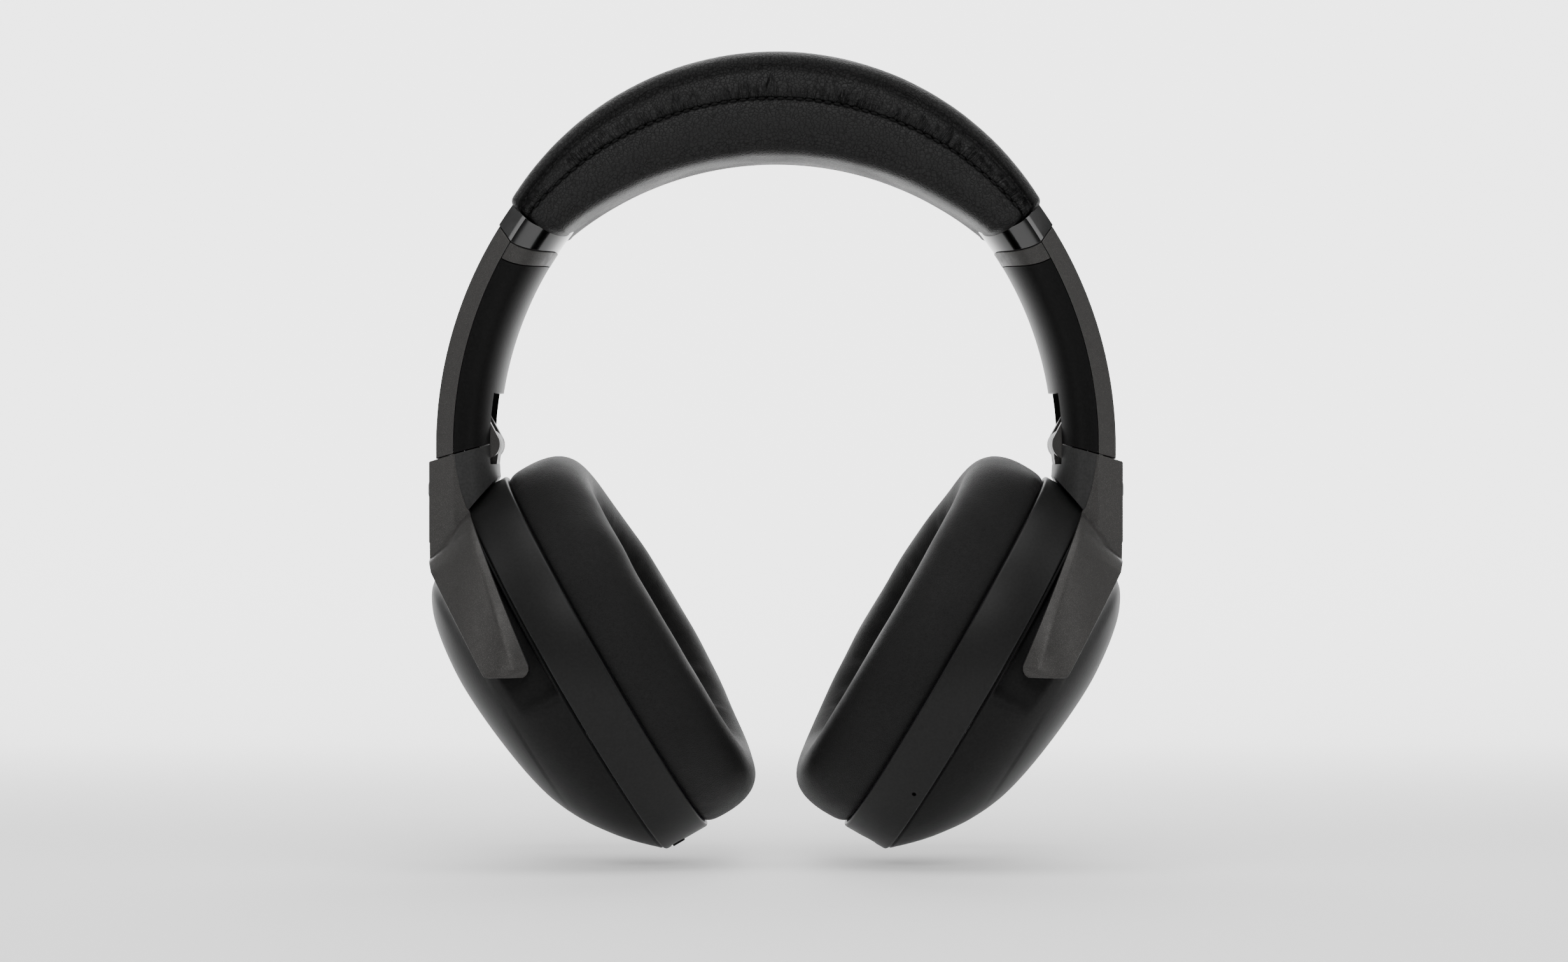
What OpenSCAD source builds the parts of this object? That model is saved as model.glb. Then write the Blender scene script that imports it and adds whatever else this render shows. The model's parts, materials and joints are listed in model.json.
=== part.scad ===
// Over-ear wireless headset: a sprung, padded headband whose two arms slide, fold and carry tilting ear cups.
// Every shape is drawn for the wearer-facing left side (negative X) and mirrored for the other one.
// Millimetres. The origin is the middle of the headband pad's underside.
// +Z is up, +X is to the right and the front is -Y.

/* [Headband pad] */
// Radius of the pad's outer arc
pad_outer_r = 77; // [75:0.5:80]
// Radius of the pad's underside arc
pad_under_r = 82.2; // [80:0.2:86]
// Thickness of the pad over the head
pad_thick = 26.6; // [24:0.2:28]
// Depth of the pad from front to back
pad_depth = 40; // [34:1:44]
// Thickness of the leather cover
cover_thick = 1.2; // [0.8:0.1:1.6]

/* [Arms] */
// Radius of the arm's outer face
arm_outer_r = 103; // [101:0.5:105]
// Radius where the painted flank meets the round inner belly
arm_flank_r = 98; // [97:0.5:99]
// Radius of the arm's inner face
arm_inner_r = 87.9; // [87:0.1:89]
// Half the depth of the arm's flat outer cover
arm_cover_y = 14; // [12:0.5:15]
// Half the depth of the arm where flank meets belly
arm_half_y = 18; // [17:0.5:19]
// Wall thickness of the arm's covers
arm_wall = 2; // [1.6:0.1:2.4]
// Slant of the fold seam across the arm, in degrees
seam_slant = 16; // [12:1:20]

/* [Slide] */
// How far each arm slides out
slide_travel = 25; // [15:1:30]
// Width of the steel slide strip
strip_w = 14; // [10:1:16]
// Thickness of the steel slide strip
strip_t = 1.2; // [1:0.1:1.6]

/* [Fold hinge] */
// Radius of the fold hinge's pin
fold_pin_r = 1.3; // [1:0.1:1.6]
// Radius of the fold hinge's barrel
fold_barrel_r = 3.5; // [3:0.1:3.8]

/* [Ear cup] */
// Tilt of the ear cup's face from upright, in degrees
cup_tilt = 30; // [26:1:34]
// Radius of the cup outline's end arcs
cup_end_r = 34; // [32:0.5:36]
// Distance from the cup's centre to each end arc's centre
cup_end_off = 16.2; // [14:0.2:18]
// Radius of the cup outline's long side arcs
cup_side_r = 56.2; // [54:0.2:60]
// Depth of the mid housing between cushion and outer shell
ring_depth = 12.3; // [11:0.1:14]
// Depth of the domed outer shell
dome_depth = 22.9; // [21:0.1:24]
// Wall thickness of the cup's housings
cup_wall = 2.2; // [1.8:0.1:2.6]
// Thickness of the ear cushion
cushion_depth = 19.4; // [16:0.2:22]
// Width of the ear cushion's padded rim
cushion_rim = 19.2; // [17:0.2:22]

/* [Fork and pivots] */
// Wall thickness of the fork's prongs
fork_wall = 3.3; // [3:0.1:3.6]
// Radius of the cup's tilt pivots
pivot_r = 2; // [1.6:0.1:2.2]

/* [Audio] */
// Radius of the loudspeaker
driver_r = 20; // [15:1:20]
// Radius of the 3.5 mm jack's bore
jack_bore_r = 1.8; // [1.78:0.01:1.82]
// Depth of the jack's bore
jack_depth = 14; // [13:0.5:15]

/* [Hidden] */
$fn = 64;
OUTLINE_STEPS = 48;     // points round an oval outline
DOME_STEPS = 13;        // rings from the dome's rim to its crown
GAP = 0.3;              // clearance between bodies that move
FIT = 0.05;             // running clearance of a pin
FAR = 60;               // a length that reaches past any part it cuts
UPRIGHT = 90 - cup_tilt;

// headband pad: the underside arc passes through the origin
pad_under_z = -pad_under_r;
pad_outer_z = pad_thick - 0.4 - pad_outer_r;
// centre of each rounded pad end, which is also where the sprung band flexes
flex_x = -54.5;
flex_z = -7.3;
pad_end_r = 10.9;
pad_end_lean = 42;      // the pad's own direction at its end, from upright

// steel band: an arc through both flex points and the pad's middle
band_mid_z = 12.4;
band_rise = band_mid_z - flex_z;
band_r = (flex_x * flex_x + band_rise * band_rise) / (2 * band_rise);
band_z = band_mid_z - band_r;
band_half_angle = asin(-flex_x / band_r);
band_t = 1;
frame_t = 2.6;

// arm arcs: centre, and angles above the level of that centre
arm_x = 18.5;
arm_z = -72;
arm_top_angle = 33.6;
arm_top_round_r = 38;   // the curved seam between collar and arm
collar_top_angle = 41.5;
band_end_angle = 29.4;  // where the painted end band meets the belly liner
arm_low_angle = -6;

// slide: a straight strip along a chord of the arm
strip_r = 95;
strip_a0 = 31;
strip_a1 = 7;
slide_lean = (strip_a0 + strip_a1) / 2;
strip_in_collar = 5;
root_w = strip_w - 0.6;
strip_len = 2 * strip_r * sin((strip_a0 - strip_a1) / 2) + strip_in_collar;

// fold hinge and its slanted seam
seam_x = -69.8;
seam_z = -70.9;
fold_x = -72.6;
fold_z = -71.2;
fork_outer_x = -86.2;
cover_t = 1.1;
trim_t = 1;
knuckle_y = 5.5;
neck_half_y = arm_half_y + 0.2;
lug_y = 9.6;
lug_web_x = -82.3;      // where the lugs' webs meet the arm's outer wall

// ear cup, in its own axes: u down its long axis, y across, v towards the head
cup_u = 85.3;
face_v = -78.4;
ring_v = -98;
dome_v = ring_v - ring_depth;
crown_v = dome_v - dome_depth;
side_off = cup_side_r - cup_end_r;
side_y = sqrt(side_off * side_off - cup_end_off * cup_end_off);
tangent_slope = (cup_side_r * side_y / side_off - side_y) / (cup_side_r * cup_end_off / side_off);
cup_half_y = cup_side_r - side_y;
plate_t = 1.6;

// tilt pivot, and the fork that carries it
pivot_u = 73.5;
pivot_v = -118;
fork_proud = 1.2;       // the prongs stand this far outside the cup's outline
pivot_reach = 39.8;     // how far from the middle the pivots end, inside the prongs
pivot_len = 3.5;
tilt_in = 3;
tilt_spare = 2;         // the fork is cleared this far past the tilt inwards
tilt_out = 12;
recess = fork_wall - fork_proud + 1.6;
recess_end_u = 86;

// ---------- shared shapes ----------

// The children and their mirror image, left to right or front to back
module both_ends() {
    children();
    mirror([1, 0, 0]) children();
}
module front_and_back() {
    children();
    mirror([0, 1, 0]) children();
}

// A drum across the headset, centred on y = 0
module drum(x, z, r, depth) {
    translate([x, 0, z]) rotate([90, 0, 0]) cylinder(r = r, h = depth, center = true);
}

// A box centred on y = 0, from its corner nearest the origin's axes
module block(x0, x1, z0, z1, depth) {
    translate([x0, -depth / 2, z0]) cube([x1 - x0, depth, z1 - z0]);
}

// Local axes at an angle up the arm: x outward from the arm's centre, z down along the arm
module on_arm(angle) {
    translate([arm_x, 0, arm_z]) rotate([0, angle - 180, 0]) children();
}

// Sweeps a section, drawn as (radius, depth), down the arm from one angle to another
module arm_sweep(top, bottom) {
    translate([arm_x, 0, arm_z]) rotate([90, 0, 0]) rotate([0, 0, 180 - top])
        rotate_extrude(angle = top - bottom) children();
}

// Outline of the arm: flat cover, slanted flanks, round belly; shrunk by inset
function arm_outline(inset) = concat(
    [[arm_outer_r - inset, arm_cover_y - inset * 0.6], [arm_outer_r - inset, -arm_cover_y + inset * 0.6]],
    belly(inset));
function belly(inset) = [
    for (i = [0 : 16]) let (a = -90 + i * 180 / 16)
        [arm_flank_r - (arm_flank_r - arm_inner_r - inset) * cos(a), (arm_half_y - inset) * sin(a)]
];
module arm_section(inset = 0) { polygon(arm_outline(inset)); }

// The curved seam between collar and arm lies on this drum, whose axis points out of the arm
module seam_drum(r) {
    on_arm(arm_top_angle) translate([50, 0, arm_top_round_r]) rotate([0, 90, 0])
        cylinder(r = r, h = FAR + 10);
}
module above_seam(r) {
    difference() {
        on_arm(arm_top_angle) translate([55, -30, -40]) cube([FAR, 60, 40 + arm_top_round_r]);
        seam_drum(r);
    }
}

// Everything below the fold seam, or above it, at a distance off the seam
module below_fold(off) {
    translate([seam_x, 0, seam_z]) rotate([0, -seam_slant, 0]) translate([-FAR, -FAR, -FAR + off])
        cube([2 * FAR, 2 * FAR, FAR]);
}
module above_fold(off) {
    translate([seam_x, 0, seam_z]) rotate([0, -seam_slant, 0]) translate([-FAR, -FAR, off])
        cube([2 * FAR, 2 * FAR, FAR]);
}

// Places children, drawn in the cup's own axes (x = u, y, z = v), in the headset
module in_cup() { rotate([0, UPRIGHT, 0]) children(); }

// Distance from the cup's centre to its outline, grown by g, in one direction
function outline_r(a, g) =
    let (c = abs(cos(a)), s = abs(sin(a)))
    s < tangent_slope * c
    ? cup_end_off * c + sqrt(pow(cup_end_r + g, 2) - pow(cup_end_off * s, 2))
    : -side_y * s + sqrt(pow(cup_side_r + g, 2) - pow(side_y * c, 2));
function outline(g) = [
    for (i = [0 : OUTLINE_STEPS - 1]) let (a = i * 360 / OUTLINE_STEPS)
        [cup_u + outline_r(a, g) * cos(a), outline_r(a, g) * sin(a)]
];
module oval(g, v0, v1) { translate([0, 0, v0]) linear_extrude(v1 - v0) polygon(outline(g)); }
module oval_tube(g_out, g_in, v0, v1) {
    difference() {
        oval(g_out, v0, v1);
        oval(g_in, v0 - 1, v1 + 1);
    }
}

// A frame on the ring's lower end arc: x points outward at the given angle from straight down the cup
module on_ring_end(angle, v) {
    translate([cup_u + cup_end_off, 0, v]) rotate([0, 0, angle]) translate([cup_end_r, 0, 0]) children();
}

// Faces of a closed skin through rings of n points: each ring is joined to the next, except after ring skip
function skin_faces(rings, n, skip = -1) = [
    for (k = [0 : rings - 1], i = [0 : n - 1]) if (k != skip)
        let (
            j = (i + 1) % n, m = (k + 1) % rings,
            a = k * n + i, b = k * n + j, c = m * n + i, d = m * n + j
        )
        each [[a, c, b], [b, c, d]]
];

// ---------- headband ----------

// The pad's crescent, shrunk by inset, cut off round at both ends
module crescent(inset) {
    difference() {
        drum(0, pad_outer_z, pad_outer_r - inset, pad_depth - 2 * inset);
        drum(0, pad_under_z, pad_under_r + inset, pad_depth + 2);
        both_ends() past_pad_end(pad_end_r - inset);
    }
}
module past_pad_end(r) {
    translate([flex_x, 0, flex_z]) rotate([0, pad_end_lean, 0]) difference() {
        translate([-FAR, -FAR, -FAR]) cube([2 * FAR, 2 * FAR, FAR]);
        rotate([90, 0, 0]) cylinder(r = r, h = 3 * FAR, center = true);
    }
}

// The slot that the strip's root swings in as the band flexes
module flex_slot() {
    both_ends() {
        drum(flex_x, flex_z, 3, strip_w + 3);
        translate([flex_x, (strip_w + 3) / 2, flex_z]) rotate([90, 0, 0]) linear_extrude(strip_w + 3)
            polygon([[1, 0], [1, -14], [-14 * sin(62), -14 * cos(62)], [-1, 0.5]]);
    }
}
module band_layer(r0, r1, half_angle, depth) {
    translate([0, 0, band_z]) rotate([90, 0, 0]) rotate([0, 0, 90 - half_angle])
        rotate_extrude(angle = 2 * half_angle) translate([r0, -depth / 2]) square([r1 - r0, depth]);
}

module headband_cover() {
    color("#1b1b1c") difference() {
        crescent(0);
        crescent(cover_thick);
        flex_slot();
    }
}
module headband_foam() {
    color("#3a3a3c") difference() {
        crescent(cover_thick);
        band_layer(band_r - band_t, band_r + frame_t, band_half_angle - 3, 28);
        band_layer(band_r - band_t, band_r, band_half_angle, strip_w + 2);
        flex_slot();
    }
}
module headband_frame() {
    color("#2c2c2e") band_layer(band_r, band_r + frame_t, band_half_angle - 3, 28);
}
module spring_band() {
    color("#9a9ca0") difference() {
        band_layer(band_r - band_t, band_r, band_half_angle - 3, strip_w + 2);
        flex_slot();
    }
}

// ---------- collar and slide ----------

// The straight strip in its own line; z runs down from the top of the slide, grown by g all round
module strip_bar(g) {
    on_arm(strip_a0) translate([0, 0, 0])
        translate([strip_r, 0, 0]) rotate([0, -(strip_a0 - slide_lean), 0])
            translate([-strip_t / 2 - g, -strip_w / 2 - g, -strip_in_collar - g])
                cube([strip_t + 2 * g, strip_w + 2 * g, strip_len + 2 * g]);
}
module strip_root(g) {
    translate([flex_x, 0, flex_z]) rotate([0, 28, 0])
        translate([-strip_t / 2 - g, -root_w / 2 - g, -16.5])
            cube([strip_t + 2 * g, root_w + 2 * g, 14.5]);
}
module collar() {
    color("#2a2c30") difference() {
        arm_sweep(collar_top_angle, 26) arm_section(0.2);
        seam_drum(arm_top_round_r + GAP);
        drum(flex_x, flex_z, pad_end_r + GAP, FAR);
        slide_strip_space();
    }
}
// The strip's seat in the collar, open at both ends
module slide_strip_space() {
    on_arm(strip_a0) translate([strip_r - strip_t / 2 - 1.4, -strip_w / 2 - 0.1, -20])
        cube([strip_t + 2.6, strip_w + 0.2, 45]);
}
module slide_strip() {
    color("#b0b2b6") union() {
        strip_bar(0);
        strip_root(0);
    }
}

// ---------- arm ----------

// Hole for the fold hinge's moving barrel and the corner that turns with it
module fold_relief() { drum(fold_x, fold_z, fold_barrel_r + 1.2, 2 * lug_y + 1); }

module arm_frame() {
    color("#403e3c") difference() {
        union() {
            difference() {
                intersection() {
                    arm_sweep(arm_top_angle + 1, arm_low_angle) arm_section(0);
                    union() {
                        arm_sweep(arm_top_angle + 1, band_end_angle) translate([70, -FAR])
                            square([FAR, 2 * FAR]);
                        arm_sweep(arm_top_angle + 1, arm_low_angle) translate([arm_flank_r, -FAR])
                            square([FAR, 2 * FAR]);
                    }
                }
                arm_sweep(arm_top_angle + 2, arm_low_angle - 1) arm_section(arm_wall);
                arm_sweep(arm_top_angle + 2, arm_low_angle - 1)
                    translate([arm_outer_r - cover_t - 0.1, -arm_cover_y]) square([5, 2 * arm_cover_y]);
            }
            arm_lugs();
        }
        above_seam(arm_top_round_r);
        below_fold(GAP);
        drum(fold_x, fold_z, fold_pin_r, FAR);
    }
    color("#403e3c") lug_rounds();
}
// Webs that carry the hinge lugs inside the arm, and the lugs' round ends
module arm_lugs() {
    front_and_back() translate([0, knuckle_y + GAP, 0]) {
        translate([fold_x - 8, 0, fold_z + 1.5]) cube([8, lug_y - knuckle_y - GAP, 9]);
        translate([lug_web_x, 0, fold_z + 4]) cube([fold_x - 2 - lug_web_x, lug_y - knuckle_y - GAP, 6]);
    }
}
module lug_rounds() {
    for (s = [1, -1]) difference() {
        translate([fold_x, s * (knuckle_y + GAP + lug_y) / 2, fold_z]) rotate([90, 0, 0])
            cylinder(r = fold_barrel_r, h = lug_y - knuckle_y - GAP, center = true);
        drum(fold_x, fold_z, fold_pin_r, FAR);
        translate([fold_x - 10, -FAR, fold_z + 1.5]) cube([20, 2 * FAR, 20]);
    }
}
module arm_liner() {
    color("#19191a") difference() {
        arm_sweep(band_end_angle, arm_low_angle) intersection() {
            arm_section(0);
            translate([80, -FAR]) square([arm_flank_r - 80, 2 * FAR]);
        }
        arm_sweep(band_end_angle + 1, arm_low_angle - 1) arm_section(arm_wall);
        below_fold(GAP);
        fold_relief();
        drum(fold_x, fold_z, 2.4, FAR);
    }
}
module arm_cover() {
    color("#111112") difference() {
        arm_sweep(arm_top_angle + 1, arm_low_angle)
            translate([arm_outer_r - cover_t, -arm_cover_y + 0.1]) square([cover_t, 2 * arm_cover_y - 0.2]);
        above_seam(arm_top_round_r);
        below_fold(GAP);
    }
}
// Block in the arm's mouth that guides the strip
module slide_guide() {
    color("#222224") difference() {
        arm_sweep(band_end_angle - 1, band_end_angle - 8) arm_section(arm_wall + 0.1);
        strip_bar(0.4);
    }
}
module fold_pin() { color("#a8aaae") drum(fold_x, fold_z, fold_pin_r, 2 * lug_y); }

// ---------- fork ----------

// The fork seen from the front: neck edge, outer edge, prong and inner edge
fork_side = [
    [-69, -70], [fork_outer_x, -74.5], [fork_outer_x, -100], [-85, -102.9], [-70.5, -127.4], [-69.8, -127.8],
    [-60.9, -127.8], [-59.6, -126.2], [-59.6, -125], [-75.8, -87.4], [-77.9, -84], [-77.9, -82]
];
// The cup's own space, swept over its tilt
module cup_sweep() {
    for (t = [-tilt_in - tilt_spare, 0, tilt_out / 2, tilt_out])
        in_cup() translate([pivot_u, 0, pivot_v]) rotate([0, t, 0]) translate([-pivot_u, 0, -pivot_v]) {
            oval(0.5, dome_v - 0.4, face_v);
            oval(-recess + 0.7, crown_v + 4, dome_v);
        }
}
module neck() {
    difference() {
        union() {
            arm_sweep(2, -14) arm_section(0);
            translate([0, 0, -103]) linear_extrude(29) polygon([
                [fork_outer_x, -arm_cover_y], [-79, -neck_half_y], [-73, -neck_half_y],
                [-73, neck_half_y], [-79, neck_half_y], [fork_outer_x, arm_cover_y]
            ]);
        }
        block(-110, fork_outer_x, -110, -60, 3 * FAR);
        arm_sweep(4, -4.5) arm_section(arm_wall);
    }
}
module fork() {
    color("#403e3c") difference() {
        union() {
            intersection() {
                union() {
                    difference() {
                        neck();
                        belly_space(0);
                        fold_room();
                    }
                    in_cup() oval_tube(fork_proud, fork_proud - fork_wall, -127, -107);
                }
                translate([0, 2 * FAR, 0]) rotate([90, 0, 0]) linear_extrude(4 * FAR) polygon(fork_side);
            }
            fold_knuckle();
        }
        cup_sweep();
        above_fold(-GAP);
        drum(fold_x, fold_z, fold_pin_r + FIT, FAR);
        in_cup() translate([pivot_u, 0, pivot_v]) rotate([90, 0, 0])
            cylinder(r = pivot_r + FIT, h = 2 * pivot_reach, center = true);
        block(-90, fork_outer_x + trim_t, -100, -60, 2 * arm_cover_y);
    }
    color("#403e3c") knuckle_top();
}
// Stem of the fold hinge's barrel, and the web that ties it to the fork's flank
module fold_knuckle() {
    block(fold_x - 2.6, fold_x + 2.6, fold_z - 9, fold_z - 0.5, 2 * knuckle_y);
    block(-84, fold_x + 2.6, fold_z - 9, fold_z - 5.5, 2 * knuckle_y);
}
module knuckle_top() {
    difference() {
        drum(fold_x, fold_z, fold_barrel_r, 2 * knuckle_y);
        drum(fold_x, fold_z, fold_pin_r + FIT, FAR);
        below_fold(-GAP);
    }
}
// Room round the arm's lugs
module fold_room() {
    for (s = [1, -1]) translate([fold_x, s * (knuckle_y + lug_y + GAP) / 2, fold_z]) rotate([90, 0, 0])
        cylinder(r = fold_barrel_r + 0.5, h = lug_y - knuckle_y + 0.6, center = true);
}
// The round belly below the fold seam, which is a separate dark shell
module belly_space(g) {
    rotate([90, 0, 0]) linear_extrude(3 * arm_half_y, center = true) polygon([
        [-79.2 - g, -60], [-79.2 - g, -73.8], [-78.9 - g, -77.1], [-77.9 - g, -82.3], [-76.5 - g, -86.8],
        [-75.8, -87.4 - g], [-68.7, -78.5 - g], [-60, -66]
    ]);
}
module fork_liner() {
    color("#3c3b3a") difference() {
        intersection() {
            arm_sweep(2, -16) arm_section(0);
            belly_space(-0.1);
        }
        arm_sweep(4, -6) arm_section(arm_wall);
        cup_sweep();
        above_fold(-GAP);
        fold_room();
        drum(fold_x, fold_z, fold_barrel_r + 0.1, 2 * knuckle_y + 0.2);
        fold_knuckle();
    }
}
module fork_trim() {
    color("#111112") difference() {
        block(fork_outer_x, fork_outer_x + trim_t, -100, -74, 2 * arm_cover_y);
        above_fold(-GAP);
        cup_sweep();
    }
}
module pivot_pins() {
    color("#a8aaae") in_cup() front_and_back()
        translate([pivot_u, pivot_reach, pivot_v]) rotate([90, 0, 0]) cylinder(r = pivot_r, h = pivot_len);
}

// ---------- ear cup ----------

// The dome's outline at a depth: its two ends along u, and its half width
function dome_top(d) = lookup(d, [[0, 34.9], [14.4, 44], [18.2, 50.2], [20.4, 54.4],
    [21.7, 59.2], [22.7, 67], [22.9, 73]]);
function dome_end(d) = lookup(d, [[0, 135.4], [6.8, 128.8], [10.9, 123.7], [14, 119.1], [17.7, 111.4],
    [19.6, 104.8],
    [21.7, 92.5], [22.7, 82], [22.9, 77]]);
function dome_half(d) = cup_half_y * pow(max(0.0001, 1 - pow(d / (dome_depth + 0.2), 2.3)), 1 / 2.3);

// One point of the dome, pressed in where the fork's prongs lie
function dome_point(a, d, inset) =
    let (
        u0 = dome_top(d) + inset, u1 = dome_end(d) - inset, h = dome_half(d) - inset,
        full = outline_r(0, 0),
        x = outline_r(a, 0) * cos(a) / full, y = outline_r(a, 0) * sin(a) / cup_half_y,
        u = (u0 + u1) / 2 + x * (u1 - u0) / 2, w = y * max(h, 1),
        rho = norm([u - cup_u, w]), phi = atan2(w, u - cup_u),
        limit = outline_r(phi, -recess - inset),
        k = d < 0.5 ? 0 : (u < recess_end_u ? 1 : max(0, 1 - (u - recess_end_u) / 3)),
        r = rho - k * max(0, rho - limit)
    ) [cup_u + r * cos(phi), r * sin(phi)];
function dome_ring(d, inset) = [
    for (i = [0 : OUTLINE_STEPS - 1])
        let (p = dome_point(i * 360 / OUTLINE_STEPS, d, inset))
            [p[0], p[1], dome_v - d * (1 - inset / dome_depth)]
];
dome_levels = [
    for (k = [0 : DOME_STEPS - 1])
        k == 0 ? 0 : (k == 1 ? 0.6 : dome_depth * sin((k - 1) * 90 / (DOME_STEPS - 2)))
];

module dome_skin() {
    outer = [for (d = dome_levels) dome_ring(d, 0)];
    inner = [for (k = [DOME_STEPS - 1 : -1 : 0]) dome_ring(dome_levels[k], cup_wall)];
    points = [for (ring = concat(outer, inner)) each ring];
    n = OUTLINE_STEPS;
    crown = DOME_STEPS - 1;
    caps = [
        [for (i = [n - 1 : -1 : 0]) crown * n + i],
        [for (i = [0 : n - 1]) (crown + 1) * n + i]
    ];
    polyhedron(points, concat(skin_faces(2 * DOME_STEPS, n, crown), caps));
}

module cup_shell() { color("#161617") in_cup() dome_skin(); }
// Mid housing: an open band with posts for the screws
module cup_ring() {
    color("#1d1d1e") in_cup() difference() {
        union() {
            oval_tube(0, -cup_wall, dome_v, ring_v);
            screw_places() cylinder(r = 2.6, h = ring_depth - plate_t - GAP);
        }
        screw_places() translate([0, 0, -1]) cylinder(r = 0.9, h = 30);
        children();
    }
}
module screw_places() {
    for (a = [35, 145, 215, 325])
        translate([cup_u + outline_r(a, -4.6) * cos(a), outline_r(a, -4.6) * sin(a), dome_v]) children();
}
module cup_screws() {
    color("#8c8e92") in_cup() screw_places() {
        translate([0, 0, ring_depth - plate_t - 5]) cylinder(r = 0.9, h = 5 + plate_t);
        translate([0, 0, ring_depth]) cylinder(r = 1.9, h = 0.5);
        translate([0, 0, ring_depth - plate_t - GAP]) cylinder(r = 0.9, h = plate_t + GAP + 0.2);
    }
}
module baffle() {
    color("#222223") in_cup() difference() {
        oval(-cup_wall - 0.1, ring_v - plate_t, ring_v);
        translate([cup_u, 0, ring_v - 5]) cylinder(r = driver_r, h = 10);
        screw_places() cylinder(r = 0.95, h = 30);
    }
}
module driver() {
    color("#4a4a4c") in_cup() translate([cup_u, 0, ring_v - 4.4]) difference() {
        cylinder(r = driver_r, h = 4.4);
        translate([0, 0, 2.4]) cylinder(r1 = 12, r2 = 18, h = 2.2);
        translate([0, 0, -1]) cylinder(r = 4, h = 2.2);
    }
}
module driver_magnet() {
    color("#9fa1a5") in_cup() translate([cup_u, 0, ring_v - 8.9]) cylinder(r = 11, h = 4.5);
}
// Padded rim round the ear hole, its section given as (offset from the cup's outline, height)
module cushion() {
    top = face_v;
    section = [
        [-1.2, ring_v + plate_t + 0.2], [-1.2, top - 6.4], [-2.2, top - 3], [-4.6, top - 0.9], [-8, top],
        [-13, top - 0.1], [-17, top - 1.6], [-cushion_rim + 0.2, top - 4.6], [-cushion_rim - 0.4, top - 9],
        [-cushion_rim, ring_v + plate_t + 0.2]
    ];
    rings = [
        for (p = section)
            [for (q = outline(p[0])) [q[0], q[1], p[1]]]
    ];
    color("#141415") in_cup()
        polyhedron([for (r = rings) each r], skin_faces(len(section), OUTLINE_STEPS));
}
module cushion_plate() {
    color("#242425") in_cup() difference() {
        oval(-1.6, ring_v + 0.05, ring_v + plate_t);
        oval(-cushion_rim, ring_v - 1, ring_v + 5);
        screw_places() cylinder(r = 2.3, h = 30);
    }
}
module ear_scrim() {
    color("#303032") in_cup() oval(-cushion_rim - 0.2, ring_v + 0.5, ring_v + 1.1);
}

// ---------- electronics and controls ----------

module switch_opening() {
    on_ring_end(0, ring_v - 8.6) translate([-4, -6, -2.1]) cube([8, 12, 4.2]);
}
module usb_opening() {
    on_ring_end(0, ring_v - 7.4) rotate([0, 90, 0]) linear_extrude(20, center = true) usb_outline(0.1);
}
module usb_outline(g) {
    square([3.2 + 2 * g, 6.4 + 2 * g], center = true);
    for (s = [1, -1]) translate([0, s * 3.2]) circle(r = 1.6 + g);
}
module jack_opening() {
    on_ring_end(40, ring_v - 7.4) rotate([0, 90, 0]) cylinder(r = 3.3, h = 20, center = true);
}
module mic_opening() {
    on_ring_end(-42, ring_v - 9.5) rotate([0, 90, 0]) cylinder(r = 0.5, h = 20, center = true);
}
module key_opening(angle) {
    on_ring_end(angle, ring_v - 6.2) rotate([0, 90, 0]) cylinder(r = 2.8, h = 12, center = true);
}
module key_cap(angle) {
    in_cup() on_ring_end(angle, ring_v - 6.2) translate([-2.4, 0, 0]) rotate([0, 90, 0])
        cylinder(r = 2.5, h = 3.1);
}
module mode_switch() {
    color("#2b2b2d") in_cup() on_ring_end(0, ring_v - 8.6) translate([-3.2, -2.6, -1.6]) union() {
        cube([3.4, 5.2, 3.2]);
        for (k = [0 : 2]) translate([3.3, 0.7 + 1.5 * k, 0]) cube([0.5, 0.8, 3.2]);
    }
}
module power_button() { color("#262628") key_cap(64); }
module volume_up_key() { color("#262628") mirror([1, 0, 0]) key_cap(68); }
module volume_down_key() { color("#262628") mirror([1, 0, 0]) key_cap(56); }
module usb_socket() {
    color("#8e9094") mirror([1, 0, 0]) in_cup() on_ring_end(0, ring_v - 7.4) translate([-7.4, 0, 0])
        rotate([0, 90, 0]) linear_extrude(6.8) difference() {
            usb_outline(0);
            scale(0.8) usb_outline(0);
        }
}
module audio_jack() {
    color("#3a3a3c") mirror([1, 0, 0]) in_cup() on_ring_end(40, ring_v - 7.4)
        rotate([0, 90, 0]) difference() {
        translate([0, 0, -jack_depth - 2]) cylinder(r = 3.2, h = jack_depth + 1.6);
        translate([0, 0, -jack_depth - 0.4]) cylinder(r = jack_bore_r, h = jack_depth + 5);
    }
}
module main_board() {
    color("#1f4a36") mirror([1, 0, 0]) in_cup() translate([cup_u - 16, -15, ring_v - 13]) cube([34, 30, 1.6]);
}
module battery() {
    color("#7d8086") in_cup() translate([cup_u - 16, -14, ring_v - 16.5]) cube([34, 28, 5]);
}

// ---------- the two sides ----------

module collar_l() { collar(); }
module slide_strip_l() { slide_strip(); }
module arm_frame_l() { arm_frame(); }
module arm_liner_l() { arm_liner(); }
module arm_cover_l() { arm_cover(); }
module slide_guide_l() { slide_guide(); }
module fold_pin_l() { fold_pin(); }
module fork_l() { fork(); }
module fork_trim_l() { fork_trim(); }
module fork_liner_l() { fork_liner(); }
module pivot_pins_l() { pivot_pins(); }
module cup_shell_l() { cup_shell(); }
module cup_ring_l() {
    cup_ring() {
        switch_opening();
        key_opening(64);
    }
}
module baffle_l() { baffle(); }
module driver_l() { driver(); }
module driver_magnet_l() { driver_magnet(); }
module cushion_l() { cushion(); }
module cushion_plate_l() { cushion_plate(); }
module ear_scrim_l() { ear_scrim(); }
module cup_screws_l() { cup_screws(); }

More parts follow.
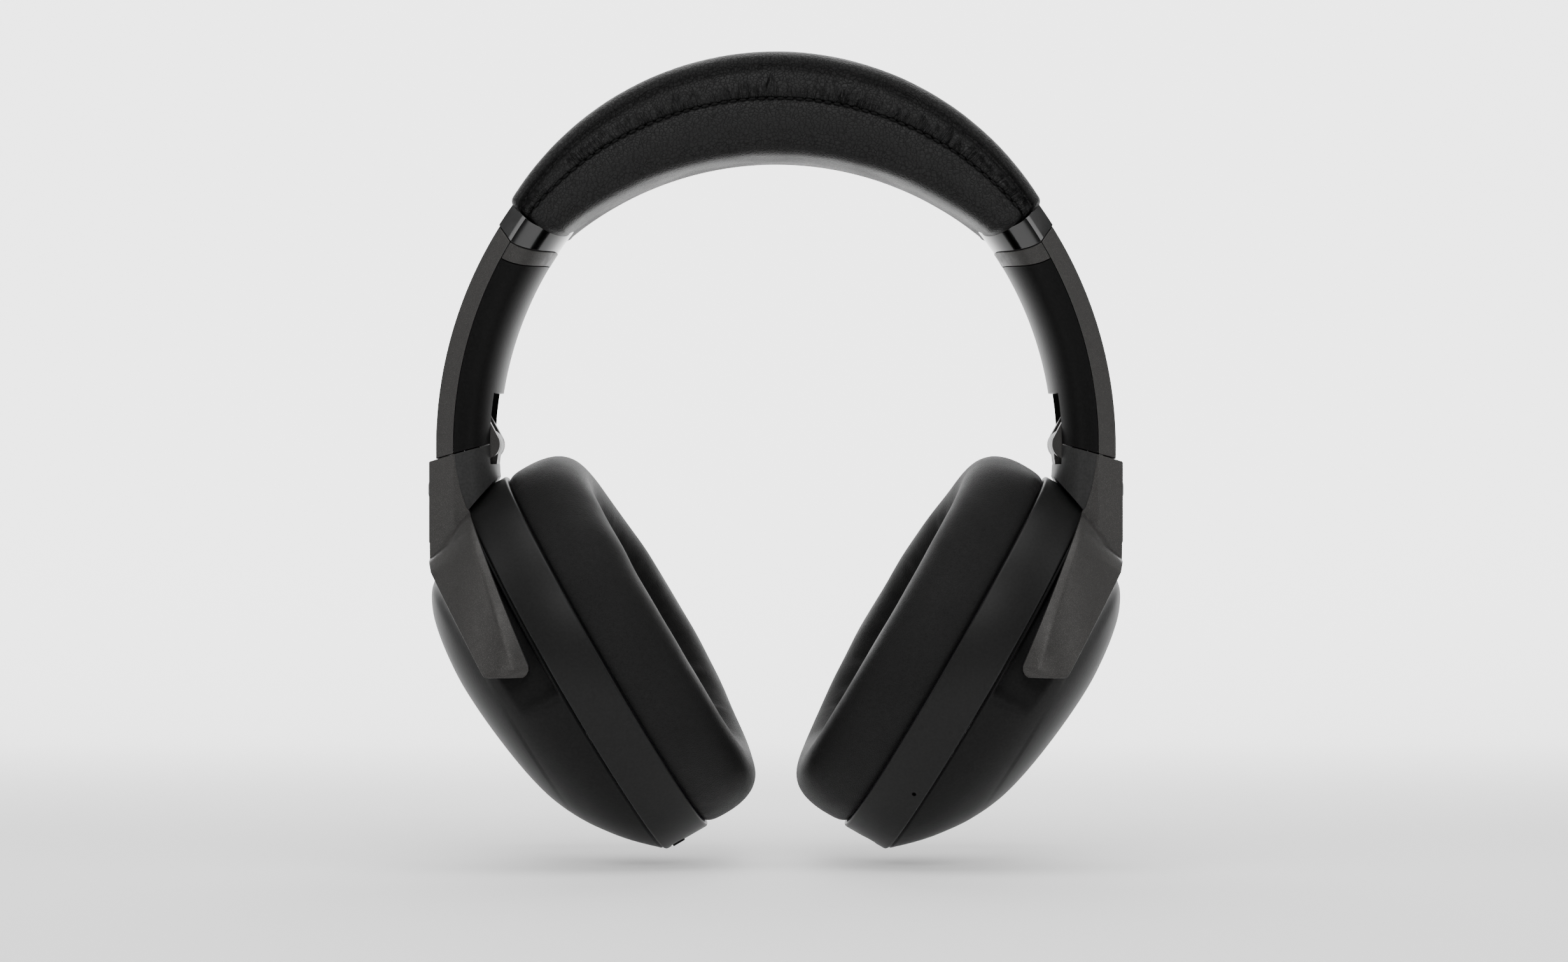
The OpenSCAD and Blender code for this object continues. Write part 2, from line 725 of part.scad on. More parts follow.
module collar_r() { mirror([1, 0, 0]) collar(); }
module slide_strip_r() { mirror([1, 0, 0]) slide_strip(); }
module arm_frame_r() { mirror([1, 0, 0]) arm_frame(); }
module arm_liner_r() { mirror([1, 0, 0]) arm_liner(); }
module arm_cover_r() { mirror([1, 0, 0]) arm_cover(); }
module slide_guide_r() { mirror([1, 0, 0]) slide_guide(); }
module fold_pin_r() { mirror([1, 0, 0]) fold_pin(); }
module fork_r() { mirror([1, 0, 0]) fork(); }
module fork_trim_r() { mirror([1, 0, 0]) fork_trim(); }
module fork_liner_r() { mirror([1, 0, 0]) fork_liner(); }
module pivot_pins_r() { mirror([1, 0, 0]) pivot_pins(); }
module cup_shell_r() { mirror([1, 0, 0]) cup_shell(); }
module cup_ring_r() {
    mirror([1, 0, 0]) cup_ring() {
        usb_opening();
        jack_opening();
        mic_opening();
        key_opening(68);
        key_opening(56);
    }
}
module baffle_r() { mirror([1, 0, 0]) baffle(); }
module driver_r() { mirror([1, 0, 0]) driver(); }
module driver_magnet_r() { mirror([1, 0, 0]) driver_magnet(); }
module cushion_r() { mirror([1, 0, 0]) cushion(); }
module cushion_plate_r() { mirror([1, 0, 0]) cushion_plate(); }
module ear_scrim_r() { mirror([1, 0, 0]) ear_scrim(); }
module cup_screws_r() { mirror([1, 0, 0]) cup_screws(); }

headband_cover();
headband_foam();
headband_frame();
spring_band();
collar_l();
slide_strip_l();
arm_frame_l();
arm_liner_l();
arm_cover_l();
slide_guide_l();
fold_pin_l();
fork_l();
fork_trim_l();
fork_liner_l();
pivot_pins_l();
cup_shell_l();
cup_ring_l();
baffle_l();
driver_l();
driver_magnet_l();
cushion_l();
cushion_plate_l();
ear_scrim_l();
cup_screws_l();
collar_r();
slide_strip_r();
arm_frame_r();
arm_liner_r();
arm_cover_r();
slide_guide_r();
fold_pin_r();
fork_r();
fork_trim_r();
fork_liner_r();
pivot_pins_r();
cup_shell_r();
cup_ring_r();
baffle_r();
driver_r();
driver_magnet_r();
cushion_r();
cushion_plate_r();
ear_scrim_r();
cup_screws_r();
main_board();
battery();
usb_socket();
audio_jack();
mode_switch();
power_button();
volume_up_key();
volume_down_key();
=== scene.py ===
"""Looks for an over-ear wireless headset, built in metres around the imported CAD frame.

The frame's origin is the middle of the headband pad's underside; +Z is up and the front is -Y.
Shapes are drawn in millimetres for the left (negative X) side and mirrored for the other one.
"""

import json
import math

import bmesh
import bpy
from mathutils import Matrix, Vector, noise


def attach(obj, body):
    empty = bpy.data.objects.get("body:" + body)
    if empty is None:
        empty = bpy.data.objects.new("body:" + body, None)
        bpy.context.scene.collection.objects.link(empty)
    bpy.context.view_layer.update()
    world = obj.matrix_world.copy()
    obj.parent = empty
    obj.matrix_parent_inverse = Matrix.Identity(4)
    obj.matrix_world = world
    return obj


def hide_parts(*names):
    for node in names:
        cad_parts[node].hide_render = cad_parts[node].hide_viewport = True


MM = 0.001
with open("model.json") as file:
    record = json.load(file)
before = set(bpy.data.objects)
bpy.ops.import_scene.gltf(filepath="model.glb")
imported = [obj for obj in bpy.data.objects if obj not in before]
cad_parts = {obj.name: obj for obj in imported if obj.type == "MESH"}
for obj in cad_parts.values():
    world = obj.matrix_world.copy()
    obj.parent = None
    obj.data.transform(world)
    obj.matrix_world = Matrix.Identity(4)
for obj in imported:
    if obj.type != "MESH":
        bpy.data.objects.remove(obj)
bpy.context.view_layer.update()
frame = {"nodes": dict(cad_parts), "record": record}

# ---------- dimensions, in millimetres, as in the CAD frame ----------

PAD_OUTER_R = 77.0
PAD_OUTER_Z = -50.8
PAD_UNDER_R = 82.2
PAD_HALF_Y = 19.6
FLEX_X, FLEX_Z = -54.5, -7.3
PAD_END_R = 10.9

ARM_X, ARM_Z = 18.5, -72.0
ARM_OUTER_R = 103.0
ARM_FLANK_R = 98.0
ARM_INNER_R = 87.9
COVER_Y = 14.0
ARM_HALF_Y = 18.0
FLANK_TOP_Y = COVER_Y + 0.35
FLANK_LOW_Y = ARM_HALF_Y + 0.03
ARM_TOP = 33.6
SEAM_ROUND = 38.0
SEAM_X, SEAM_Z = -69.8, -70.9
SEAM_SLOPE = math.tan(math.radians(16))
FOLD_X, FOLD_Z = -72.6, -71.2

CUP_COS, CUP_SIN = 0.5, math.sqrt(3) / 2
CUP_U = 85.3
END_R, END_OFF = 34.0, 16.2
SIDE_R = 56.2
SIDE_Y = math.sqrt((SIDE_R - END_R) ** 2 - END_OFF ** 2)
HALF_Y = SIDE_R - SIDE_Y
RING_V, DOME_V = -98.0, -110.3
DOME_DEPTH = 22.9
FORK_PROUD = 1.2
FORK_WALL = 3.3
RECESS = 3.7


# ---------- small helpers ----------

def clamp(x, lo=0.0, hi=1.0):
    return max(lo, min(hi, x))


def smooth(x):
    x = clamp(x)
    return x * x * (3 - 2 * x)


def mix(a, b, t):
    return a + (b - a) * t


def smooth_max(a, b, k):
    h = clamp(0.5 + 0.5 * (a - b) / k)
    return mix(b, a, h) + k * h * (1 - h)


def curve(x, points):
    """Smooth, never overshooting curve through (x, y) points, in rising x."""
    n = len(points)
    if x <= points[0][0]:
        return points[0][1]
    if x >= points[-1][0]:
        return points[-1][1]
    slopes = [(b[1] - a[1]) / (b[0] - a[0]) for a, b in zip(points, points[1:])]
    tangents = [slopes[0]]
    for i in range(1, n - 1):
        a, b = slopes[i - 1], slopes[i]
        tangents.append(0 if a * b <= 0 else 2 * a * b / (a + b))
    tangents.append(slopes[-1])
    i = next(k for k in range(n - 1) if x <= points[k + 1][0])
    h = points[i + 1][0] - points[i][0]
    t = (x - points[i][0]) / h
    return ((1 + 2 * t) * (1 - t) ** 2 * points[i][1] + t * (1 - t) ** 2 * h * tangents[i]
            + t * t * (3 - 2 * t) * points[i + 1][1] + t * t * (t - 1) * h * tangents[i + 1])


def ripple(x, y, z):
    """Smooth noise between about -1 and 1."""
    return noise.noise(Vector((x, y, z)))


def mix_points(a, b, t):
    return tuple(mix(p, q, t) for p, q in zip(a, b))


def refine(points, steps):
    """A polyline with every span cut into equal steps."""
    fine = [mix_points(a, b, j / steps) for a, b in zip(points, points[1:]) for j in range(steps)]
    return fine + [points[-1]]


def directions(n):
    """n directions round a full turn, in radians."""
    return [2 * math.pi * i / n for i in range(n)]


def side_word(right):
    return "right" if right else "left"


def cup(u, y, v):
    """A point given in the ear cup's own axes, in the headset's axes."""
    return (u * CUP_COS + v * CUP_SIN, y, -u * CUP_SIN + v * CUP_COS)


def cup_polar(r, a, v):
    """A point r from the cup's centre, in direction a (radians), at height v of the cup's axes."""
    return cup(CUP_U + r * math.cos(a), r * math.sin(a), v)


def cup_uv(x, z):
    """Where a side-on point lies in the cup's own axes."""
    return x * CUP_COS - z * CUP_SIN, x * CUP_SIN + z * CUP_COS


def outline_r(a, g):
    """Distance from the cup's centre to its outline grown by g, in direction a (radians)."""
    c, s = abs(math.cos(a)), abs(math.sin(a))
    k = SIDE_R / (SIDE_R - END_R)
    if s * END_OFF * k < (SIDE_Y * k - SIDE_Y) * c:
        return END_OFF * c + math.sqrt((END_R + g) ** 2 - (END_OFF * s) ** 2)
    return -SIDE_Y * s + math.sqrt((SIDE_R + g) ** 2 - (SIDE_Y * c) ** 2)


def outline_y(u, g):
    """Half width of the cup's outline, grown by g, at u."""
    d = abs(u - CUP_U)
    tangent = END_OFF * (SIDE_R + g) / (SIDE_R - END_R)
    if d < tangent:
        return math.sqrt((SIDE_R + g) ** 2 - d * d) - SIDE_Y
    return math.sqrt(max(0.0, (END_R + g) ** 2 - (d - END_OFF) ** 2))


def arm_point(r, angle, y):
    """A point at radius r, and an angle in degrees up the arm, at depth y."""
    a = math.radians(angle)
    return (ARM_X - r * math.cos(a), y, ARM_Z + r * math.sin(a))


def solve(f, lo, hi):
    """Where f changes sign between lo and hi."""
    sign = f(lo) > 0
    for _ in range(30):
        mid = (lo + hi) / 2
        if (f(mid) > 0) == sign:
            lo = mid
        else:
            hi = mid
    return (lo + hi) / 2


def grid_faces(rings, n, closed_ring=True, closed_path=False):
    faces = []
    for k in range(rings if closed_path else rings - 1):
        for i in range(n if closed_ring else n - 1):
            j = (i + 1) % n
            m = (k + 1) % rings
            faces.append((k * n + i, k * n + j, m * n + j, m * n + i))
    return faces


def build(name, points, faces, right=False, sharp=40):
    """A mesh piece from millimetre points, mirrored for the right side."""
    sx = -MM if right else MM
    mesh = bpy.data.meshes.new(name)
    mesh.from_pydata([(p[0] * sx, p[1] * MM, p[2] * MM) for p in points], [], faces)
    bm = bmesh.new()
    bm.from_mesh(mesh)
    bmesh.ops.remove_doubles(bm, verts=bm.verts, dist=2e-6)
    bmesh.ops.dissolve_degenerate(bm, edges=bm.edges, dist=1e-6)
    bmesh.ops.recalc_face_normals(bm, faces=bm.faces)
    bm.to_mesh(mesh)
    bm.free()
    for p in mesh.polygons:
        p.use_smooth = True
    mesh.set_sharp_from_angle(angle=math.radians(sharp))
    piece = bpy.data.objects.new(name, mesh)
    bpy.context.scene.collection.objects.link(piece)
    return piece


def loft(name, rings, right=False, caps=True, sharp=40, closed_path=False):
    """A skin through closed rings of equal length, with flat or fanned caps."""
    n = len(rings[0])
    points = [p for ring in rings for p in ring]
    faces = grid_faces(len(rings), n, closed_path=closed_path)
    if caps and not closed_path:
        for start in (0, (len(rings) - 1) * n):
            ring = points[start:start + n]
            centre = tuple(sum(p[i] for p in ring) / n for i in range(3))
            points.append(centre)
            c = len(points) - 1
            faces += [(start + i, start + (i + 1) % n, c) for i in range(n)]
    return build(name, points, faces, right, sharp)


def round_corners(points, r, steps=4):
    """A closed 2D outline with each corner rounded to about r."""
    out = []
    n = len(points)
    for i, p in enumerate(points):
        a, b = Vector(points[i - 1]), Vector(points[(i + 1) % n])
        p = Vector(p)
        da, db = (a - p), (b - p)
        if da.normalized().angle(db.normalized(), 0) > math.radians(160):
            out.append(tuple(p))
            continue
        k = min(r, da.length * 0.45, db.length * 0.45)
        s, e = p + da.normalized() * k, p + db.normalized() * k
        for j in range(steps + 1):
            t = j / steps
            q = s * (1 - t) ** 2 + p * 2 * t * (1 - t) + e * t * t
            out.append(tuple(q))
    return out


def cut(piece, cutters):
    """Takes the cutters' shapes out of a piece, for good."""
    for cutter in cutters:
        mod = piece.modifiers.new("cut", "BOOLEAN")
        mod.operation = "DIFFERENCE"
        mod.solver = "EXACT"
        mod.object = cutter
        with bpy.context.temp_override(object=piece, active_object=piece):
            bpy.ops.object.modifier_apply(modifier=mod.name)
        bpy.data.objects.remove(cutter)
    piece.data.set_sharp_from_angle(angle=math.radians(35))
    return piece


# ---------- materials ----------

class Paint:
    """A material being made: its main shader and the nodes that feed it, in the object's own metres."""

    def __init__(self, name, rough=0.5, metallic=0.0, colour=(0.02, 0.02, 0.02), specular=0.15):
        self.material = bpy.data.materials.new(name)
        self.material.use_nodes = True
        self.nodes, self.links = self.material.node_tree.nodes, self.material.node_tree.links
        self.bsdf = self.nodes["Principled BSDF"]
        self.shade(Base_Color=(*colour, 1), Roughness=rough, Metallic=metallic, Specular_IOR_Level=specular)
        self.place = self.nodes.new("ShaderNodeTexCoord").outputs["Object"]

    def feed(self, slot, value):
        """Gives an input a socket or a value."""
        if isinstance(value, bpy.types.NodeSocket):
            self.links.new(value, slot)
        else:
            slot.default_value = value

    def shade(self, **inputs):
        for key, value in inputs.items():
            self.feed(self.bsdf.inputs[key.replace("_", " ")], value)

    def add(self, kind, *values, **settings):
        """A node: values feed its inputs in order, capitalised settings named ones; others are options."""
        node = self.nodes.new("ShaderNode" + kind)
        for key, value in settings.items():
            if key[0].isupper():
                self.feed(node.inputs[key.replace("_", " ")], value)
            else:
                setattr(node, key, value)
        for slot, value in zip(node.inputs, values):
            self.feed(slot, value)
        return node

    def maths(self, operation, *values):
        return self.add("Math", *values, operation=operation).outputs[0]

    def noise(self, scale, **settings):
        return self.add("TexNoise", Vector=self.place, Scale=scale, **settings).outputs["Fac"]

    def cells(self, scale, place=None, **settings):
        node = self.add("TexVoronoi", Vector=place or self.place, Scale=scale, **settings)
        return node.outputs["Distance"]

    def step(self, value, start, end, low, high=1.0):
        """A soft step from low to high while the value goes from start to end."""
        return self.add("MapRange", Value=value, From_Min=start, From_Max=end, To_Min=low, To_Max=high,
                        interpolation_type="SMOOTHSTEP").outputs["Result"]

    def ramp(self, source, *stops):
        """Colours along a value; a plain number is a grey."""
        node = self.add("ValToRGB", Fac=source)
        elements = node.color_ramp.elements
        while len(elements) < len(stops):
            elements.new(0.5)
        for element, (position, colour) in zip(elements, stops):
            element.position = position
            element.color = (*(grey(colour) if isinstance(colour, (int, float)) else colour), 1)
        return node.outputs["Color"]

    def bump(self, height, strength, distance):
        """Relief, on top of any relief made before it."""
        before = self.bsdf.inputs["Normal"].links
        node = self.add("Bump", Strength=strength, Distance=distance, Height=height)
        if before:
            self.links.new(before[0].from_socket, node.inputs["Normal"])
        self.shade(Normal=node.outputs["Normal"])


def grey(value, warm=0.0):
    return (value * (1 + warm), value, value * (1 - warm))


CRACK_BEND = 0.0007
WEAR_SCALE = 60
CREASE_STRETCH = (78, 130, 40)
CREASE_DEPTH = 0.0022


def leather(name, base, high, rough, grain, depth, wrinkled=False):
    """Grained protein leather: rounded cells between fine cracks, soft pores and slow wear.

    Where the mesh says so (attribute "wrinkle"), fine radial creases run up from the seam.
    """
    paint = Paint(name, rough)
    warp = paint.add("TexNoise", Vector=paint.place, Scale=grain * 0.9, Detail=2.0)
    bend = paint.add("VectorMath", warp.outputs["Color"], (CRACK_BEND,) * 3, paint.place,
                     operation="MULTIPLY_ADD")
    cracks = paint.cells(grain, bend.outputs[0], feature="DISTANCE_TO_EDGE")
    cell = paint.ramp(cracks, (0.0, 0.0), (0.09, 0.7), (0.3, 1.0))
    skin = paint.maths("MULTIPLY_ADD", paint.noise(grain * 2.6, Detail=3.0), 0.5, cell)
    wear = paint.noise(WEAR_SCALE, Detail=2.0)
    paint.shade(Base_Color=paint.ramp(skin, (0.3, base * 0.6), (0.75, base), (1.0, high)),
                Roughness=paint.ramp(wear, (0.3, rough - 0.05), (0.7, rough + 0.1)))
    paint.bump(skin, 0.6, depth)
    if wrinkled:
        add_wrinkles(paint)
    return paint.material


def add_wrinkles(paint):
    """Fine creases that run towards the headband's centre, in noise stretched along the radius."""
    x, y, z = paint.add("SeparateXYZ", paint.place).outputs
    height = paint.maths("ADD", z, -PAD_OUTER_Z * MM)
    spread = paint.add("CombineXYZ", paint.maths("ARCTAN2", x, height), height, y)
    stretch = paint.add("VectorMath", spread.outputs[0], CREASE_STRETCH, operation="MULTIPLY")
    creases = paint.add("TexNoise", Vector=stretch.outputs[0], Scale=1.0, Detail=2.0, Distortion=0.5)
    lines = paint.ramp(creases.outputs["Fac"], (0.36, 0.0), (0.47, 1.0), (0.7, 0.75))
    where = paint.add("Attribute", attribute_name="wrinkle").outputs["Fac"]
    paint.bump(paint.maths("MULTIPLY", lines, where), 1.0, CREASE_DEPTH)


def speckled_paint(name, base, spark, rough):
    """Metallic paint with fine flakes."""
    paint = Paint(name, rough, 0.35)
    flakes = paint.noise(8000, Detail=1.0, Roughness=0.7)
    slow = paint.noise(500, Detail=2.0)
    paint.shade(Base_Color=paint.ramp(flakes, (0.36, base), (0.52, base), (0.78, spark)),
                Roughness=paint.ramp(slow, (0.3, rough - 0.08), (0.7, rough + 0.08)))
    paint.bump(flakes, 0.12, 0.0002)
    return paint.material


def plastic(name, value, rough, depth=0.0, specular=0.15):
    """Moulded plastic with a faint spark-eroded texture."""
    paint = Paint(name, rough, 0.0, grey(value), specular)
    grain = paint.noise(1500, Detail=2.0)
    paint.shade(Base_Color=paint.ramp(grain, (0.3, value * 0.9), (0.7, value * 1.15)))
    if depth:
        paint.bump(grain, 0.25, depth)
    return paint.material


def metal(name, value, rough):
    paint = Paint(name, rough, 1.0, grey(value))
    smear = paint.noise(120, Detail=3.0)
    paint.shade(Roughness=paint.ramp(smear, (0.3, rough * 0.8), (0.7, rough * 1.3)))
    return paint.material


def cloth(name, value, pitch):
    """Fine knitted mesh: two crossed waves make the holes."""
    paint = Paint(name, 0.9, 0.0, grey(value))
    waves = [paint.add("TexWave", Vector=paint.place, Scale=pitch, bands_direction=direction).outputs["Fac"]
             for direction in ("X", "Y")]
    both = paint.maths("MULTIPLY", *waves)
    paint.shade(Base_Color=paint.ramp(both, (0.0, value * 0.3), (0.6, value * 1.5)))
    paint.bump(both, 0.5, 0.0004)
    return paint.material


def foam(name, value):
    paint = Paint(name, 0.95, 0.0, grey(value))
    cells = paint.cells(1300)
    paint.shade(Base_Color=paint.ramp(cells, (0.0, value * 1.3), (0.7, value * 0.5)))
    paint.bump(cells, 0.6, 0.0005)
    return paint.material


def circuit_board(name):
    """Green solder mask with copper lands."""
    paint = Paint(name, 0.4)
    copper, mask, shadow = (0.35, 0.24, 0.09), (0.01, 0.07, 0.03), (0.005, 0.05, 0.02)
    paint.shade(Base_Color=paint.ramp(paint.cells(450, distance="CHEBYCHEV"),
                                      (0.08, copper), (0.14, mask), (1.0, shadow)))
    return paint.material


# The finish of each material slot in the record, and of the thread
MATERIALS = {
    "leather": leather("pad_leather", 0.0065, 0.0115, 0.48, 1050, 0.00024, wrinkled=True),
    "cushion_leather": leather("cushion_leather", 0.005, 0.007, 0.55, 1900, 0.0001),
    "foam": foam("foam", 0.05),
    "frame_plastic": plastic("frame_plastic", 0.012, 0.5),
    "spring_steel": metal("spring_steel", 0.5, 0.3),
    "dark_chrome": metal("dark_chrome", 0.06, 0.12),
    "gunmetal_paint": speckled_paint("gunmetal_paint", grey(0.036, 0.03), grey(0.085, 0.04), 0.42),
    "soft_touch": plastic("soft_touch", 0.006, 0.36, 0.00005, specular=0.05),
    "belly_grey": plastic("belly_grey", 0.028, 0.38, 0.00005, specular=0.08),
    "gloss_black": plastic("gloss_black", 0.005, 0.38, specular=0.08),
    "shell_plastic": plastic("shell_plastic", 0.009, 0.42, 0.00008, specular=0.06),
    "ring_plastic": plastic("ring_plastic", 0.0085, 0.4, 0.00006),
    "pin_steel": metal("pin_steel", 0.55, 0.3),
    "scrim": cloth("scrim", 0.012, 900),
    "cone": plastic("driver_cone", 0.02, 0.6, 0.0001),
    "board": circuit_board("board"),
    "battery_foil": metal("battery_foil", 0.6, 0.35),
    "key_rubber": plastic("key_rubber", 0.012, 0.65, 0.00008),
    "thread": plastic("stitch_thread", 0.003, 0.8),
}


# ---------- headband pad ----------

PAD_TURN = 57.9
PAD_THICK = 26.0
# Height shares of the stitched seam and of the valley over it, at the top and at the pad's ends
SEAM_H = (0.534, 0.60)
VALLEY_H = (0.83, 0.80)
PAD_STATIONS = 380
PAD_END_STATIONS = 22
PAD_END_BULGE = 3.2
PAD_END_POWER = 2.4
STITCH_PITCH = 2.5
STITCH_GAP = 0.5
STITCH_LINE_R = 70
THREAD_R = 0.32
THREAD_AROUND, THREAD_ALONG = 6, 5


def pad_radii(angle):
    """Inner and outer radius of the pad along the ray at an angle (degrees) from straight up."""
    a = math.radians(abs(angle))
    gap = PAD_UNDER_R + PAD_OUTER_Z
    return -gap * math.cos(a) + math.sqrt(PAD_UNDER_R ** 2 - (gap * math.sin(a)) ** 2), PAD_OUTER_R


def pad_lines(angle):
    """Height shares of the seam and the valley at an angle."""
    k = (angle / PAD_TURN) ** 2
    return mix(*SEAM_H, k), mix(*VALLEY_H, k)


def pad_profile(angle):
    """Half a cross section, from the underside's middle to the top's: (height share, depth in y) pairs."""
    seam, valley = pad_lines(angle)
    d = PAD_HALF_Y
    return [
        (-0.012, 0), (-0.012, d * 0.35), (-0.004, d * 0.62), (0.012, d * 0.8), (0.05, d - 2.0),
        (0.115, d - 0.75), (0.2, d), (0.3, d + 0.4), (0.4, d + 0.2), (0.47, d - 0.35),
        (seam - 0.028, d - 1.0), (seam - 0.01, d - 1.35),
        (seam, d - 1.95), (seam + 0.01, d - 1.5), (seam + 0.03, d - 1.1), (seam + 0.09, d - 0.95),
        (valley - 0.09, d - 1.7), (valley - 0.03, d - 2.7), (valley, d - 3.3), (valley + 0.025, d - 2.7),
        (valley + 0.06, d - 1.9), (valley + 0.1, d - 2.1),
        (0.975, d - 4.0), (0.998, d - 6.5), (1.0, d - 9.5), (0.999, d - 13), (0.998, 0),
    ]


def smooth_profile(points, rounds=2):
    for _ in range(rounds):
        points = [points[0]] + [
            tuple((points[i - 1][k] + 2 * points[i][k] + points[i + 1][k]) / 4 for k in (0, 1))
            for i in range(1, len(points) - 1)] + [points[-1]]
    return points


def pad_relief(angle, h, side):
    """How far the leather stands out: radial wrinkles on the strip and slow dents in the padding."""
    seam, valley = pad_lines(angle)
    across = angle * 1.35
    relief = 0.22 * ripple(across * 0.14, side * 7.0, h * 2.2)
    patch = smooth(0.55 + 1.5 * ripple(across * 0.075, side * 3.0 + 11, 0.4))
    lean = across + 1.6 * math.sin(across * 0.5) * (h - seam) * 6
    fold = ripple(lean * 0.95, side * 5.0, h * 3.5) + 0.45 * ripple(lean * 2.3, side, h * 5)
    on_strip = smooth((h - seam) / 0.04) * smooth((valley - h) / 0.1)
    relief += 0.62 * patch * on_strip * fold
    on_roll = smooth((h - valley) / 0.05)
    relief += 0.16 * on_roll * ripple(across * 0.8, side * 2.0, 3.0)
    under_seam = smooth((seam - h) / 0.03) * smooth((h - seam + 0.2) / 0.14)
    relief += 0.2 * under_seam * ripple(across * 0.9, side * 9.0, 6.0)
    return relief


def pad_point(angle, h, y, shrink=1.0, forward=0.0):
    """A point on the pad: shrink pulls towards the section's middle, forward moves on along the band."""
    a = math.radians(angle)
    inner, outer = pad_radii(angle)
    h = mix(0.5, h, shrink)
    rho = mix(inner, outer, h)
    sign = 1 if angle >= 0 else -1
    x = rho * math.sin(a) + sign * forward * math.cos(a)
    z = PAD_OUTER_Z + rho * math.cos(a) - abs(forward * math.sin(a))
    return (x, y * (1 - (1 - shrink) * 0.35), z)


def pad_station(angle, shrink=1.0, forward=0.0):
    """One cross section of the pad as a closed ring of points."""
    half = smooth_profile(refine(pad_profile(angle), 3))
    ring = []
    for side, part in ((-1, half), (1, half[::-1][1:-1])):
        for h, y in part:
            lift = pad_relief(angle, h, side) * shrink
            edge = smooth((y - 9) / 6)
            rise = lift / PAD_THICK * (1 - edge) * (0.5 if h > 0.5 else 0)
            ring.append(pad_point(angle, h + rise, side * (y + lift * edge), shrink, forward))
    return ring


def wrinkle_share(x, z):
    """How strongly the leather is creased here: just above the seam, in patches of uneven reach."""
    angle = math.degrees(math.atan2(x, z - PAD_OUTER_Z))
    inner, outer = pad_radii(clamp(angle, -PAD_TURN, PAD_TURN))
    h = (math.hypot(x, z - PAD_OUTER_Z) - inner) / (outer - inner)
    seam, _ = pad_lines(angle)
    patch = smooth(0.62 + 0.9 * ripple(angle * 0.11, 4.0, 1.0) + 0.004 * angle)
    reach = 0.16 + 0.12 * ripple(angle * 0.5, 9.0, 2.0)
    return patch * smooth((h - seam) / 0.012) * smooth((seam + reach - h) / 0.09)


def make_pad():
    """The padded leather roll, with rounded ends."""
    rings = [pad_station(mix(-PAD_TURN, PAD_TURN, i / PAD_STATIONS)) for i in range(PAD_STATIONS + 1)]
    ends = []
    for j in range(1, PAD_END_STATIONS + 1):
        t = math.sin(j / PAD_END_STATIONS * math.pi / 2)
        shrink = (1 - t ** PAD_END_POWER) ** (1 / PAD_END_POWER) if t < 1 else 0.0
        ends.append((max(shrink, 0.02), t * PAD_END_BULGE))
    first = [pad_station(-PAD_TURN, s, f) for s, f in reversed(ends)]
    last = [pad_station(PAD_TURN, s, f) for s, f in ends]
    pad = loft("headband_pad", first + rings + last, sharp=180)
    pad.data.materials.append(MATERIALS["leather"])
    mask = pad.data.attributes.new("wrinkle", "FLOAT", "POINT")
    for vertex, value in zip(pad.data.vertices, mask.data):
        value.value = wrinkle_share(vertex.co.x / MM, vertex.co.z / MM)
    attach(pad, "headband")
    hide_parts("headband_cover", "headband_foam")


def stitch_row(name, places, radius, body):
    """Thread lying along a seam: short capsules, each from one hole to the next."""
    points, faces = [], []
    for a, b in places:
        a, b = Vector(a), Vector(b)
        d = (b - a).normalized()
        side = d.cross(Vector((0, 1, 0))).normalized()
        up = d.cross(side)
        base = len(points)
        for i in range(THREAD_ALONG + 1):
            t = i / THREAD_ALONG
            r = radius * (1 - (2 * t - 1) ** 4) ** 0.5 + 0.02
            for q in directions(THREAD_AROUND):
                points.append(tuple(a + (b - a) * t + side * r * math.cos(q) + up * r * math.sin(q)))
        for face in grid_faces(THREAD_ALONG + 1, THREAD_AROUND):
            faces.append(tuple(base + v for v in face))
        for start in (base, base + THREAD_ALONG * THREAD_AROUND):
            faces.append(tuple(range(start, start + THREAD_AROUND)))
    piece = build(name, points, faces, sharp=180)
    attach(piece, body)
    return piece


def make_pad_stitches():
    """The two rows of stitches along the pad's seams."""
    places = []
    count = int(2 * PAD_TURN * math.radians(1) * STITCH_LINE_R / STITCH_PITCH)
    for side in (-1, 1):
        for i in range(count):
            ends = []
            for t in (i * STITCH_PITCH + STITCH_GAP / 2, (i + 1) * STITCH_PITCH - STITCH_GAP / 2):
                angle = mix(-PAD_TURN, PAD_TURN, t / (count * STITCH_PITCH))
                seam, _ = pad_lines(angle)
                ends.append(pad_point(angle, seam - 0.002, side * (PAD_HALF_Y - 1.2)))
            places.append(ends)
    stitches = stitch_row("pad_stitches", places, THREAD_R, "headband")
    stitches.data.materials.append(MATERIALS["thread"])


# ---------- ear cushions and scrims ----------

CUSHION_AROUND = 220
# The roll's section from the outer seam over the top to the inner seam: (growth from the outline, height)
CUSHION_SECTION = [
    (-1.0, 0.25), (-0.55, 0.9), (-0.15, 2.2), (0.0, 4.5), (-0.05, 8), (-0.35, 11), (-1.0, 13.8),
    (-2.1, 16.2), (-3.9, 18.1), (-6.2, 19.2), (-8.8, 19.6), (-11.6, 19.4), (-14.2, 18.4),
    (-16.4, 16.6), (-18.0, 14.2), (-18.9, 11.2), (-19.2, 8), (-19.1, 4.4), (-18.7, 1.8),
    (-18.2, 0.7), (-17.6, 0.25),
]
CUSHION_SEEDS = {"left": 5, "right": 31}


